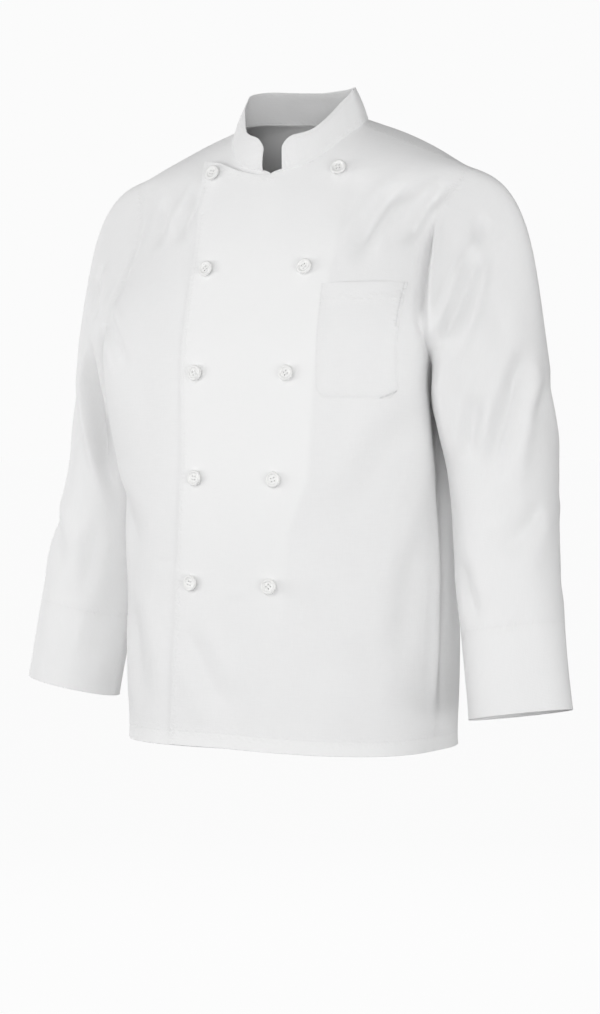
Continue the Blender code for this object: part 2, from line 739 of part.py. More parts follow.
def make_button(name, panel, x, height, material):
    out = SURFACE.normal(x, height)
    start = SURFACE.point(x, height) + out * BUTTON_RADIUS
    found, place, _, _ = panel.ray_cast(Vector(start), Vector(-out))
    if not found:
        raise ValueError(name + " misses its panel")
    seat = np.array(place) + out * BUTTON_SEAT
    across = unit(np.cross(np.array([0.0, 0.0, 1.0]), out))
    up = np.cross(out, across)
    shape = bmesh.new()
    rings = []
    for radius, rise in button_profile():
        if radius == 0.0:
            rings.append([shape.verts.new(seat + out * rise)])
            continue
        ring = []
        for k in range(BUTTON_SIDES):
            angle = 2 * math.pi * k / BUTTON_SIDES
            spoke = across * math.cos(angle) + up * math.sin(angle)
            ring.append(shape.verts.new(seat + spoke * radius + out * rise))
        rings.append(ring)
    for k in range(BUTTON_SIDES):
        after = (k + 1) % BUTTON_SIDES
        shape.faces.new([rings[0][0], rings[1][k], rings[1][after]])
        for upper, lower in zip(rings[1:], rings[2:]):
            shape.faces.new([upper[k], lower[k], lower[after], upper[after]])
    shape.faces.new(rings[-1][::-1])
    mesh = bpy.data.meshes.new(name)
    shape.to_mesh(mesh)
    shape.free()
    return add_object(name, mesh, material)


def main():
    clear_scene()
    cotton = make_material("cotton", COTTON, 0.85)
    plastic = make_material("button_plastic", BUTTON_WHITE, 0.35)
    levels = panel_levels()
    front, back, left, right, rear = make_panels(levels)
    ring = armhole_ring(front, back)
    sleeves = [make_sleeve("sleeve_left", ring, False), make_sleeve("sleeve_right", ring, True)]
    body = [left, right, rear] + sleeves
    normals = shared_normals(body)
    collar = make_collar(front, back, right, normals["front_right"])
    sink_under_front(right, normals["front_right"])
    normals["collar"] = collar.normals()
    walls = {
        sheet.name: build_wall(sheet, normals[sheet.name], WALL, cotton) for sheet in body + [collar]
    }
    pocket = make_pocket()
    build_wall(pocket, pocket.normals(), POCKET_WALL, cotton)
    bpy.context.view_layer.update()
    outer_front = walls["front_left"]
    for number, (height, away) in enumerate(BUTTON_ROWS, start=1):
        make_button(f"button_{number}_left", outer_front, away, height, plastic)
        make_button(f"button_{number}_right", outer_front, -away, height, plastic)


def make_material(name, colour, roughness):
    material = bpy.data.materials.new(name)
    material.use_nodes = True
    shader = material.node_tree.nodes["Principled BSDF"]
    shader.inputs["Base Color"].default_value = colour
    shader.inputs["Roughness"].default_value = roughness
    shader.inputs["Metallic"].default_value = 0.0
    return material


main()
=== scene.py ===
"""Looks of the double-breasted white chef jacket. Metres, +Z up, the jacket faces -Y.

The cloth is the part's own cut at a finer density: the same tables and section curves, welded at
the seams, eased, creased and parted again into thin shells.
"""

import math

import bmesh
import bpy
import numpy as np
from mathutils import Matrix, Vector, noise
from mathutils.bvhtree import BVHTree
from mathutils.kdtree import KDTree


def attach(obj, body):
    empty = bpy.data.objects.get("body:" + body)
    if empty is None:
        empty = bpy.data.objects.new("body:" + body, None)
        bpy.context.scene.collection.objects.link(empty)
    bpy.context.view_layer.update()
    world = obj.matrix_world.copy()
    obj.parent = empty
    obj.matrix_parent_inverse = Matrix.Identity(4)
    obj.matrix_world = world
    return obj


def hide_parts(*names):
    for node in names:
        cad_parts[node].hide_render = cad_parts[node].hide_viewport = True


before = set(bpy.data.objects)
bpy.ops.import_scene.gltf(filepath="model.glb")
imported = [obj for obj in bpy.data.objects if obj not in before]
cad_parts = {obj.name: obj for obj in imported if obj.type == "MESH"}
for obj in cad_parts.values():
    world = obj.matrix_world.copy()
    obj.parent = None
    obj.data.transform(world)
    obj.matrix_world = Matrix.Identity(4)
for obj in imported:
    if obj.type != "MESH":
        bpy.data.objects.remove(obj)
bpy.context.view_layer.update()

# ---------------------------------------------------------------- the cut, as in the part
SEAM_TRIM = 0.0002
CLOTH = 0.0014  # thickness of the shells
LAP_DROP = 0.0014
LAP_DROP_LOW = -0.060
LAP_DROP_HIGH = -0.020
LAP_LIFT = 0.0030
LAP_LIFT_LOW = -0.150
LAP_RAMP = 0.030
COLLAR_HEIGHT = 0.037
COLLAR_FRONT = 0.0165
COLLAR_CORNER = 0.016
COLLAR_LEAN = 0.40
COLLAR_LEAN_FRONT = 0.05
COLLAR_LEAN_RUN = 0.085
CORNER_CUT = 0.94
HEM_FRONT = -0.733
HEM_SIDE = -0.737
HEM_HALF = 0.200
CURVE_POINTS = 96
SIDE_POINTS = 24
SECTION_POINTS = 220
FINE_ROWS = 120
FINE_ACROSS = 140
TURN_SOFTENING = 50
SIDE_SHARE = 0.25
SIDE_WIDTH = 0.036

# density of the looks
ACROSS = 76
ROWS_SIDE = 104
ROWS_CHEST = 66
ROWS_YOKE = 22
NECK_ROW = ROWS_SIDE + ROWS_CHEST
LAP_CELLS = 30
CAP_RINGS = 48
ARM_RINGS = 92

FRONT = (
    # mid x, y, z          turn x, y, z             edge x, y, z      round, sweep, crown
    (0.000, -0.157, -0.733, 0.2000, -0.022, -0.737, 0.2000, -0.018, -0.737, 2.50, 90, 0.000),
    (0.000, -0.150, -0.600, 0.2070, -0.021, -0.600, 0.2055, -0.015, -0.600, 2.50, 90, 0.000),
    (0.000, -0.141, -0.475, 0.2100, -0.031, -0.475, 0.1995, -0.010, -0.475, 2.50, 90, 0.000),
    (0.000, -0.135, -0.410, 0.2180, -0.050, -0.410, 0.1970, -0.007, -0.410, 2.50, 90, 0.000),
    (0.000, -0.128, -0.345, 0.2250, -0.075, -0.345, 0.1920, -0.003, -0.345, 2.50, 90, 0.000),
    (0.000, -0.123, -0.300, 0.2275, -0.090, -0.305, 0.1930, 0.000, -0.312, 2.50, 90, 0.000),
    (0.000, -0.117, -0.260, 0.2275, -0.093, -0.265, 0.2190, -0.060, -0.281, 2.40, 90, 0.000),
    (0.000, -0.108, -0.225, 0.2225, -0.088, -0.235, 0.2220, -0.085, -0.238, 2.30, 84, 0.000),
    (0.000, -0.093, -0.172, 0.2105, -0.060, -0.180, 0.2110, -0.059, -0.180, 2.15, 72, 0.000),
    (0.000, -0.077, -0.116, 0.2050, -0.036, -0.132, 0.2060, -0.035, -0.132, 2.00, 64, 0.000),
    (0.000, -0.060, -0.063, 0.2115, -0.019, -0.097, 0.2125, -0.018, -0.097, 1.90, 58, 0.000),
    (0.050, -0.047, -0.047, 0.2220, -0.008, -0.076, 0.2230, -0.007, -0.076, 1.90, 58, 0.000),
    (0.078, -0.022, -0.019, 0.2300, 0.001, -0.063, 0.2310, 0.001, -0.063, 1.95, 60, 0.000),
    (0.089, 0.004, 0.000, 0.2340, 0.010, -0.058, 0.2350, 0.010, -0.058, 2.00, 60, 0.000),
)
BACK = (
    # mid x, y, z         turn x, y, z             edge x, y, z      round, sweep, crown
    (0.000, 0.124, -0.742, 0.2000, -0.014, -0.737, 0.2000, -0.018, -0.737, 2.90, 90, 0.000),
    (0.000, 0.118, -0.600, 0.2060, -0.010, -0.600, 0.2055, -0.015, -0.600, 2.80, 90, 0.000),
    (0.000, 0.109, -0.475, 0.2020, 0.004, -0.475, 0.1995, -0.010, -0.475, 2.60, 90, 0.000),
    (0.000, 0.109, -0.410, 0.2020, 0.034, -0.410, 0.1970, -0.007, -0.410, 2.40, 90, 0.000),
    (0.000, 0.113, -0.345, 0.2030, 0.064, -0.345, 0.1920, -0.003, -0.345, 2.40, 90, 0.000),
    (0.000, 0.117, -0.300, 0.2100, 0.078, -0.305, 0.1930, 0.000, -0.312, 2.40, 90, 0.000),
    (0.000, 0.120, -0.260, 0.2160, 0.084, -0.265, 0.2120, 0.058, -0.281, 2.30, 90, 0.000),
    (0.000, 0.121, -0.225, 0.2160, 0.085, -0.230, 0.2155, 0.081, -0.238, 2.30, 84, 0.000),
    (0.000, 0.119, -0.165, 0.2055, 0.073, -0.178, 0.2060, 0.072, -0.178, 2.20, 72, 0.000),
    (0.000, 0.108, -0.090, 0.2045, 0.055, -0.130, 0.2050, 0.054, -0.130, 2.10, 66, 0.002),
    (0.000, 0.076, 0.004, 0.2125, 0.038, -0.094, 0.2135, 0.037, -0.094, 2.00, 62, 0.006),
    (0.045, 0.064, 0.006, 0.2225, 0.028, -0.075, 0.2235, 0.027, -0.075, 2.00, 60, 0.010),
    (0.076, 0.037, 0.007, 0.2305, 0.019, -0.062, 0.2315, 0.019, -0.062, 2.00, 60, 0.008),
    (0.089, 0.004, 0.000, 0.2340, 0.010, -0.058, 0.2350, 0.010, -0.058, 2.00, 60, 0.000),
)
LEVEL_UNDERARM = 5
LEVEL_NECK = 10
LEVEL_TOP = 13
ARM = (
    # x, y, z              across, deep
    (0.2650, 0.017, -0.332, 0.0640, 0.0700),
    (0.2725, 0.018, -0.385, 0.0620, 0.0680),
    (0.2800, 0.009, -0.445, 0.0610, 0.0640),
    (0.2885, -0.003, -0.503, 0.0620, 0.0600),
    (0.2985, -0.013, -0.562, 0.0620, 0.0550),
    (0.3090, -0.020, -0.628, 0.0625, 0.0500),
    (0.3185, -0.025, -0.687, 0.0635, 0.0470),
)
CAP_LEAVE_TIP = (0.29, 0.0, -0.040)
CAP_LEAVE_UNDER = (0.020, 0.0, -0.034)
CAP_FORWARD = -0.035
CAP_ARRIVE_TIP = 0.26
CAP_ARRIVE_UNDER = 0.045
ARM_START_HEADING = (0.12, 0.10, -1.0)
LAP_Z = (-0.737, -0.542, -0.419, -0.296, -0.172, -0.045)
LAP_EDGE = (0.083, 0.080, 0.080, 0.088, 0.095, 0.108)
LAP_TOP_X = (0.000, 0.020, 0.050, 0.080, 0.108)  # along the top edge of both fronts
LAP_TOP_Z = (-0.063, -0.062, -0.056, -0.047, -0.045)
UNDER_SHORTFALL = 0.012
UNDER_TOP_Z = (-0.064, -0.066, -0.068, -0.072, -0.076)
BUTTON_ROWS = (
    (-0.0580, 0.0875),
    (-0.1740, 0.0695),
    (-0.2970, 0.0640),
    (-0.4200, 0.0550),
    (-0.5430, 0.0550),
)
POCKET_TOP = (-0.193, 0.094, 0.1990)
POCKET_BOTTOM = (-0.326, 0.103, 0.2050)
POCKET_MITRE = 0.010

# ---------------------------------------------------------------- creases, placed one by one
# which pieces (see FOLD_HOSTS), points along the crease, half width at its start and end, depth (below
# zero is a ridge), how much the cloth rises beside it on the left and on the right of its run
FOLDS = (
    # from the shoulder and neck down the near chest
    ("front", ((.178, -.030, -.073), (.160, -.038, -.088), (.146, -.050, -.108), (.135, -.068, -.142),
               (.131, -.082, -.172)), .0075, .012, .0085, .45, .30),
    ("front", ((.216, -.012, -.075), (.206, -.020, -.090), (.195, -.032, -.108), (.188, -.046, -.132),
               (.184, -.060, -.155)), .0060, .010, .0070, .40, .35),
    ("front", ((.118, -.040, -.060), (.106, -.055, -.092), (.101, -.070, -.130)), .012, .020, .0017, .2, .2),
    # far chest
    ("front", ((-.108, -.040, -.068), (-.116, -.052, -.094), (-.123, -.060, -.117), (-.124, -.072, -.146)),
     .008, .012, .0066, .30, .40),
    ("front", ((-.178, -.030, -.080), (-.166, -.048, -.112), (-.160, -.066, -.150)),
     .009, .014, .0045, .3, .3),
    ("front", ((-.222, -.075, -.215), (-.205, -.095, -.244), (-.188, -.108, -.268), (-.170, -.115, -.300)),
     .0065, .010, .0070, .35, .25),
    # near side of the body, below the pocket
    ("front", ((.215, -.085, -.330), (.190, -.110, -.385), (.160, -.128, -.445), (.130, -.135, -.500)),
     .015, .026, .0045, .25, .35),
    ("front", ((.060, -.142, -.530), (.093, -.139, -.565), (.128, -.130, -.625), (.151, -.124, -.692)),
     .017, .028, .0046, .35, .30),
    ("front", ((.205, -.060, -.470), (.196, -.075, -.560), (.188, -.080, -.660)),
     .015, .024, .0046, .35, .45),
    # lower middle
    ("front", ((-.066, -.147, -.585), (-.046, -.150, -.622), (-.015, -.153, -.668), (.024, -.155, -.700)),
     .012, .018, .0038, .40, .35),
    ("front", ((-.006, -.147, -.553), (.014, -.147, -.5525), (.034, -.146, -.551)),
     .004, .004, -.0013, .3, .3),
    ("front", ((-.118, -.131, -.521), (-.098, -.135, -.520), (-.080, -.137, -.518)),
     .0035, .0035, .0014, .3, .3),
    # far side of the body
    ("front", ((-.205, -.060, -.420), (-.180, -.105, -.470), (-.140, -.128, -.520)),
     .013, .022, .0055, .3, .3),
    ("front", ((-.170, -.105, -.560), (-.150, -.125, -.640), (-.135, -.130, -.705)),
     .017, .024, .0055, .35, .3),
    # near sleeve, seen from the front
    ("left", ((.274, -.030, -.150), (.265, -.041, -.172), (.261, -.057, -.212), (.250, -.070, -.252),
              (.244, -.080, -.285)), .0068, .0095, .0120, .40, .60),
    ("left", ((.322, -.006, -.262), (.316, -.022, -.296), (.308, -.036, -.350), (.297, -.046, -.400),
              (.286, -.050, -.446)), .0100, .0135, .0105, .50, .40),
    ("left", ((.276, -.054, -.312), (.272, -.052, -.345), (.270, -.050, -.382), (.273, -.047, -.410)),
     .0068, .0095, .0060, .55, .40),
    ("left", ((.330, .020, -.288), (.327, .006, -.302), (.320, -.014, -.324), (.312, -.030, -.344)),
     .0110, .0112, -.0030, .60, .35),
    ("left", ((.262, -.024, -.128), (.264, -.034, -.155), (.259, -.050, -.190), (.250, -.066, -.224)),
     .0110, .0120, -.0055, .1, .1),
    ("left", ((.345, -.010, -.440), (.330, -.040, -.478), (.306, -.058, -.512)), .010, .014, .0060, .40, .30),
    ("left", ((.255, -.050, -.500), (.272, -.058, -.548), (.292, -.068, -.590)), .010, .014, .0050, .30, .35),
    # near sleeve, outer side and back
    ("left", ((.338, .046, -.290), (.328, .070, -.334), (.300, .088, -.382)), .013, .017, .0048, .30, .40),
    ("left", ((.340, .050, -.420), (.318, .074, -.446), (.284, .078, -.470)), .011, .015, .0052, .45, .30),
    ("left", ((.262, .078, -.405), (.240, .062, -.430), (.226, .036, -.462)), .010, .014, .0049, .30, .40),
    ("left", ((.300, .066, -.160), (.270, .082, -.215), (.240, .082, -.262)), .011, .014, .007, .40, .50),
    ("left", ((.352, .012, -.520), (.336, .040, -.560), (.312, .044, -.610)), .012, .017, .0035, .30, .30),
    # far sleeve
    ("right", ((-.276, -.040, -.160), (-.266, -.052, -.198), (-.256, -.064, -.238)),
     .0075, .0105, .0090, .5, .35),
    ("right", ((-.268, -.062, -.250), (-.262, -.056, -.310), (-.250, -.046, -.372), (-.245, -.044, -.420)),
     .0085, .0120, .0090, .45, .40),
    ("right", ((-.318, -.018, -.282), (-.312, -.030, -.340), (-.302, -.040, -.400)),
     .011, .014, .0065, .4, .4),
    ("right", ((-.340, -.010, -.450), (-.322, -.040, -.500), (-.300, -.060, -.552)),
     .011, .016, .0060, .4, .35),
    ("right", ((-.262, -.052, -.470), (-.270, -.056, -.530), (-.280, -.062, -.580)),
     .010, .015, .0036, .35, .3),
    ("right", ((-.340, .046, -.320), (-.322, .074, -.360), (-.296, .086, -.392)),
     .012, .016, .0056, .40, .40),
    ("right", ((-.336, .054, -.440), (-.312, .074, -.462), (-.280, .076, -.480)),
     .011, .015, .0048, .35, .40),
    ("right", ((-.302, .064, -.170), (-.272, .080, -.222), (-.242, .080, -.268)),
     .011, .014, .0062, .45, .45),
    ("right", ((-.264, .076, -.395), (-.244, .064, -.424), (-.228, .040, -.450)),
     .010, .014, .0042, .35, .35),
    # back
    ("back", ((.190, .062, -.140), (.172, .086, -.190), (.150, .104, -.245), (.132, .108, -.310)),
     .013, .020, .0052, .45, .40),
    ("back", ((-.192, .062, -.145), (-.178, .084, -.200), (-.160, .100, -.262), (-.146, .104, -.330)),
     .012, .019, .0047, .40, .45),
    ("back", ((.160, .060, -.080), (.128, .088, -.110), (.100, .104, -.160)), .012, .018, .003, .3, .3),
    ("back", ((-.154, .060, -.076), (-.120, .090, -.106), (-.090, .106, -.150)), .012, .018, .0025, .3, .3),
    ("back", ((.190, .060, -.420), (.150, .092, -.470), (.105, .104, -.520)), .015, .024, .0047, .40, .40),
    ("back", ((-.192, .056, -.400), (-.156, .090, -.446), (-.120, .100, -.486)), .014, .022, .0045, .40, .35),
    ("back", ((.085, .106, -.430), (.078, .108, -.540), (.066, .116, -.690)), .018, .030, .0047, .45, .40),
    ("back", ((-.060, .106, -.450), (-.070, .110, -.560), (-.086, .116, -.700)), .017, .028, .0042, .40, .45),
    ("back", ((.150, .090, -.560), (.146, .094, -.640), (.136, .098, -.715)), .014, .022, .0037, .40, .40),
    ("back", ((-.152, .090, -.540), (-.150, .094, -.620), (-.146, .096, -.700)), .014, .024, .004, .40, .40),
    ("back", ((.010, .116, -.200), (.014, .114, -.300), (.008, .108, -.420)), .022, .030, .0022, .3, .3),
    # where the sleeves are set in: body and sleeve meet in a deep crease on the near side, in a
    # shallow one on the far side
    ("armhole_left", ((.210, -.022, -.104), (.206, -.034, -.130), (.2085, -.050, -.160), (.212, -.062, -.186),
                      (.217, -.076, -.215), (.221, -.084, -.240), (.221, -.080, -.262)),
     .0035, .0062, .0165, .28, .06),
    ("armhole_right", ((-.207, -.030, -.122), (-.208, -.048, -.158), (-.213, -.066, -.196),
                      (-.220, -.083, -.236)),
     .0040, .0070, .0040, .15, .25),
    # the near side's turn, sharper than on the far side
    ("side_left", ((.212, -.042, -.415), (.206, -.028, -.467), (.207, -.026, -.560), (.205, -.024, -.653),
                   (.201, -.020, -.722)), .007, .008, -.0040, .1, .1),
    ("side_left", ((.204, -.010, -.440), (.204, -.006, -.500), (.205, -.006, -.600), (.203, -.004, -.722)),
     .008, .010, .0045, .1, .1),
    # the near sleeve's fullness beside the body, under the arm
    ("left", ((.240, -.070, -.268), (.235, -.058, -.300), (.229, -.042, -.335), (.228, -.030, -.372)),
     .010, .013, -.0030, .1, .1),
    # two creases of the far sleeve: a deep one where it goes in behind the body, and one near its cuff
    ("right", ((-.270, -.055, -.250), (-.266, -.051, -.327), (-.253, -.045, -.406), (-.237, -.033, -.462)),
     .0060, .0085, .0150, .20, .45),
    ("right", ((-.255, -.051, -.575), (-.261, -.053, -.624), (-.268, -.054, -.664)),
     .010, .012, .0032, .35, .35),
    # small soft folds that the others leave between them
    ("left", ((.289, -.040, -.205), (.296, -.036, -.240), (.296, -.038, -.282)), .010, .013, .0022, .3, .3),
    ("left", ((.262, -.016, -.112), (.268, -.028, -.140), (.270, -.036, -.168)), .006, .008, .0026, .35, .35),
    ("front", ((.150, -.110, -.250), (.152, -.122, -.300), (.146, -.129, -.352)), .020, .026, .0014, .2, .2),
    ("front", ((-.150, -.104, -.250), (-.146, -.118, -.310), (-.140, -.126, -.372)),
     .020, .026, .0016, .2, .2),
)


def cubic(knots, values, at):
    """A smooth curve through rows of values at rising knots, which never overshoots them."""
    knots = np.asarray(knots, float)
    values = np.asarray(values, float)
    gaps = np.diff(knots).reshape((-1,) + (1,) * (values.ndim - 1))
    rise = np.diff(values, axis=0) / gaps
    before, after = rise[:-1], rise[1:]
    turning = before * after <= 0
    safe = np.where(turning, 1.0, before + after)
    slopes = np.concatenate([rise[:1], np.where(turning, 0.0, 2 * before * after / safe), rise[-1:]])
    at = np.clip(np.asarray(at, float), knots[0], knots[-1])
    i = np.clip(np.searchsorted(knots, at, side="right") - 1, 0, len(knots) - 2)
    span = knots[i + 1] - knots[i]
    t = (at - knots[i]) / span
    if values.ndim > 1:
        t = t[..., None]
        span = span[..., None]
    start = values[i] * (1 + 2 * t) * (1 - t) ** 2 + slopes[i] * span * t * (1 - t) ** 2
    end = values[i + 1] * t * t * (3 - 2 * t) + slopes[i + 1] * span * t * t * (t - 1)
    return start + end


def smooth(t):
    t = np.clip(t, 0.0, 1.0)
    return t * t * (3 - 2 * t)


def unit(vectors):
    return vectors / np.maximum(np.linalg.norm(vectors, axis=-1, keepdims=True), 1e-12)


def table_knots():
    lengths = np.zeros(len(FRONT) - 1)
    for table in (FRONT, BACK):
        rows = np.array(table)
        mid = np.linalg.norm(np.diff(rows[:, 0:3], axis=0), axis=1)
        edge = np.linalg.norm(np.diff(rows[:, 6:9], axis=0), axis=1)
        lengths += mid + edge
    return np.concatenate([[0], np.cumsum(lengths)])


KNOTS = table_knots()


def run_along(points):
    steps = np.linalg.norm(np.diff(points, axis=0), axis=1)
    return np.concatenate([[0], np.cumsum(steps)])


def points_at(points, at):
    run = run_along(points)
    return np.stack([np.interp(at, run, points[:, k]) for k in range(3)], axis=1)


def resample(points, count):
    return points_at(points, np.linspace(0, run_along(points)[-1], count + 1))


def spread(points, turn_share, across, side_cells):
    length = run_along(points)[-1]
    split = min(turn_share * length, length - SIDE_WIDTH)
    first = np.linspace(0, split, across - side_cells + 1)
    last = np.linspace(split, length, side_cells + 1)[1:]
    return points_at(points, np.concatenate([first, last]))


def round_off(points, passes):
    for _ in range(passes):
        points[1:-1] = (points[:-2] + 2 * points[1:-1] + points[2:]) / 4
    return points


def section(row):
    """One line across a half panel, from the middle edge to the side edge."""
    mid, turn, edge = row[0:3], row[3:6], row[6:9]
    squareness, sweep, crown = row[9:12]
    t = np.radians(np.linspace(0, sweep, CURVE_POINTS + 1))
    out = np.sin(t) ** (2 / squareness)
    out = out / out[-1]
    fall = np.maximum(np.cos(t), 0) ** (2 / squareness)
    fall = (fall - fall[-1]) / (1 - fall[-1])
    front = np.stack(
        [
            mid[0] + (turn[0] - mid[0]) * out,
            turn[1] + (mid[1] - turn[1]) * fall,
            mid[2] + (turn[2] - mid[2]) * out + crown * np.sin(math.pi * out),
        ],
        axis=1,
    )
    side = turn + (edge - turn) * np.linspace(0, 1, SIDE_POINTS + 1)[1:, None]
    whole = np.concatenate([front, side])
    turn_share = run_along(front)[-1] / run_along(whole)[-1]
    return round_off(resample(whole, SECTION_POINTS), TURN_SOFTENING), turn_share


def panel_rows(table, levels, across):
    """Grid of points of a half panel on the wearer's left, one line for each level."""
    rows = cubic(KNOTS, np.array(table), np.interp(levels, range(len(KNOTS)), KNOTS))
    sections = [section(row) for row in rows]
    side_cells = round(across * SIDE_SHARE)
    return np.stack([spread(line, turn, across, side_cells) for line, turn in sections])


def levels_between(first, last, count):
    at = np.linspace(KNOTS[first], KNOTS[last], count + 1)[1:]
    return np.interp(at, KNOTS, range(len(KNOTS)))


def panel_levels():
    return np.concatenate(
        [
            [0.0],
            levels_between(0, LEVEL_UNDERARM, ROWS_SIDE),
            levels_between(LEVEL_UNDERARM, LEVEL_NECK, ROWS_CHEST),
            levels_between(LEVEL_NECK, LEVEL_TOP, ROWS_YOKE),
        ]
    )


class FrontSurface:
    """Looks up the front's depth at any (x, z) of the wearer's left half, mirrored for the right."""

    def __init__(self):
        levels = np.interp(np.linspace(0, KNOTS[-1], FINE_ROWS), KNOTS, range(len(KNOTS)))
        self.grid = panel_rows(FRONT, levels, FINE_ACROSS)
        self.turns = [int(np.argmax(line[:, 0])) for line in self.grid]

    def point(self, x, z):
        side = abs(x)
        column = []
        for line, turn in zip(self.grid, self.turns):
            if line[0, 0] <= side <= line[turn, 0]:
                column.append([np.interp(side, line[: turn + 1, 0], line[: turn + 1, k]) for k in (1, 2)])
        column = np.array(column)
        order = np.argsort(column[:, 1])
        depth = np.interp(z, column[order, 1], column[order, 0])
        low = column[order[0]]
        if z < low[1]:
            depth = low[0]
        return np.array([x, depth, z])

    def normal(self, x, z, step=0.004):
        right = self.point(x + step, z) - self.point(x - step, z)
        up = self.point(x, z + step) - self.point(x, z - step)
        return unit(np.cross(right, up))


SURFACE = FrontSurface()


def mirror(grid):
    return grid * np.array([-1.0, 1.0, 1.0])


def lap_edge(height):
    return float(cubic(LAP_Z, LAP_EDGE, height))


def under_edge(height):
    return lap_edge(height) - UNDER_SHORTFALL


def lap_lift(x, z):
    up = smooth((z - LAP_LIFT_LOW) / (LAP_TOP_Z[-1] - LAP_LIFT_LOW))
    return LAP_LIFT * up * smooth(x / lap_edge(z))


def lap_grid(levels, side, edge_of, top_z):
    """The part of a front that goes on past the middle, on side 1 or -1, up to its free edge."""
    middle = panel_rows(FRONT, levels[: NECK_ROW + 1], ACROSS)[:, 0]
    share = (middle[:, 2] - middle[0, 2]) / (middle[-1, 2] - middle[0, 2])
    grid = np.zeros((NECK_ROW + 1, LAP_CELLS + 1, 3))
    for i, part in enumerate(share):
        reach = edge_of(middle[i, 2])
        for k in range(LAP_CELLS + 1):
            x = reach * k / LAP_CELLS
            hem = HEM_FRONT + (HEM_SIDE - HEM_FRONT) * (x / HEM_HALF) ** 1.5
            top = np.interp(x, LAP_TOP_X, top_z)
            z = hem + part * (top - hem)
            grid[i, k] = SURFACE.point(side * x, z)
            if side < 0:
                grid[i, k] += SURFACE.normal(side * x, z) * lap_lift(x, z)
        grid[i, 0] = middle[i]
    return grid


def lap_depth(point):
    """How far a point of the under front is pushed in below the outer one."""
    edge = -lap_edge(point[2])
    across = smooth((point[0] - (edge - LAP_RAMP)) / LAP_RAMP)
    return LAP_DROP * across * smooth((LAP_DROP_HIGH - point[2]) / (LAP_DROP_HIGH - LAP_DROP_LOW))


def armhole_ring(front, back):
    """Round the armhole, from the shoulder's tip down the front and up the back."""
    down = front[ROWS_SIDE:, -1][::-1]
    up = back[ROWS_SIDE:, -1]
    return np.concatenate([down, up[1:]])


def ring_turns(ring):
    """How far round the sleeve each point of the armhole goes, from 0 to 1."""
    half = len(ring) // 2
    run = run_along(ring)
    front = run[: half + 1] / run[half] / 2
    back = 0.5 + (run[half + 1 :] - run[half]) / (run[-1] - run[half]) / 2
    return np.concatenate([front, back])


def arm_sections(turns, count):
    table = np.array(ARM)
    run = run_along(table[:, :3])
    at = np.linspace(0, run[-1], count + 1)
    rows = cubic(run, table, at)
    heading = unit(np.gradient(rows[:, :3], at, axis=0))
    heading[0] = unit(np.array(ARM_START_HEADING))
    rings = []
    for row, down in zip(rows, heading):
        outward = unit(np.array([1.0, 0, 0]) - down * down[0])
        forward = np.cross(down, outward)
        if forward[1] > 0:
            forward = -forward
        angle = turns * 2 * math.pi
        rings.append(
            row[:3]
            + outward * (row[3] * np.cos(angle))[:, None]
            + forward * (row[4] * np.sin(angle))[:, None]
        )
    return np.array(rings), heading


def cap_rings(ring, turns, first_section, heading, count):
    """Rings from the armhole to the sleeve's first section."""
    outer = ((1 + np.cos(turns * 2 * math.pi)) / 2)[:, None]
    forward = np.sin(turns * 2 * math.pi)[:, None] * np.array([0.0, CAP_FORWARD, 0.0])
    leave = outer * (np.array(CAP_LEAVE_TIP) + forward) + (1 - outer) * np.array(CAP_LEAVE_UNDER)
    arrive = heading * (outer * CAP_ARRIVE_TIP + (1 - outer) * CAP_ARRIVE_UNDER)
    rings = []
    for s in np.linspace(0, 1, count + 1):
        rings.append(
            ring * (1 + 2 * s) * (1 - s) ** 2
            + leave * s * (1 - s) ** 2
            + first_section * s * s * (3 - 2 * s)
            + arrive * s * s * (s - 1)
        )
    return np.array(rings)


def sleeve_grid(ring):
    turns = ring_turns(ring)
    arm, heading = arm_sections(turns, ARM_RINGS)
    cap = cap_rings(ring, turns, arm[0], heading[0], CAP_RINGS)
    grid = np.concatenate([cap, arm[1:]])
    grid[:, -1] = grid[:, 0]
    return grid


# ---------------------------------------------------------------- one welded cloth
class Cloth:
    """All cut pieces on shared points, so that creases and easing run on over the seams."""

    def __init__(self):
        self.points = []
        self.index = {}
        self.pieces = {}

    def vertex(self, tag, point):
        key = (tag,) + tuple(np.round(point, 6))
        if key not in self.index:
            self.index[key] = len(self.points)
            self.points.append(np.array(point, float))
        return self.index[key]

    def add(self, piece, grid, tag_of, flip):
        ids = np.array([[self.vertex(tag_of(p), p) for p in line] for line in grid])
        self.pieces.setdefault(piece, []).append((ids, flip))

    def close(self):
        """Joins the grids and notes which points are neighbours and which lie on the rim."""
        self.points = np.array(self.points)
        grids = [grid for piece in self.pieces.values() for grid in piece]
        self.quads = np.concatenate([cells_of(ids, flip) for ids, flip in grids])
        edges, rim = edges_of(self.quads)
        both = np.unique(np.concatenate([edges, edges[:, ::-1]]), axis=0)
        self.from_, self.to = both[:, 0], both[:, 1]
        self.is_rim = np.zeros(len(self.points), bool)
        self.is_rim[rim.ravel()] = True
        self.count = np.bincount(self.from_, minlength=len(self.points)).astype(float)

    def numbers(self, piece):
        """The point numbers of a piece."""
        return np.unique(np.concatenate([ids.ravel() for ids, _ in self.pieces[piece]]))

    def ease(self, values, passes, hold=None, share=0.5):
        """Averages values with their neighbours', except where they are held."""
        values = values.copy()
        for _ in range(passes):
            total = np.stack(
                [np.bincount(self.from_, values[self.to, k], len(values)) for k in range(values.shape[1])], 1
            )
            change = share * (total / self.count[:, None] - values)
            if hold is not None:
                change[hold] = 0
            values += change
        return values

    def normals(self):
        total = np.zeros((len(self.points), 3))
        p = self.points[self.quads]
        across = np.cross(p[:, 2] - p[:, 0], p[:, 3] - p[:, 1])
        for k in range(4):
            for axis in range(3):
                total[:, axis] += np.bincount(self.quads[:, k], across[:, axis], len(total))
        return unit(total)


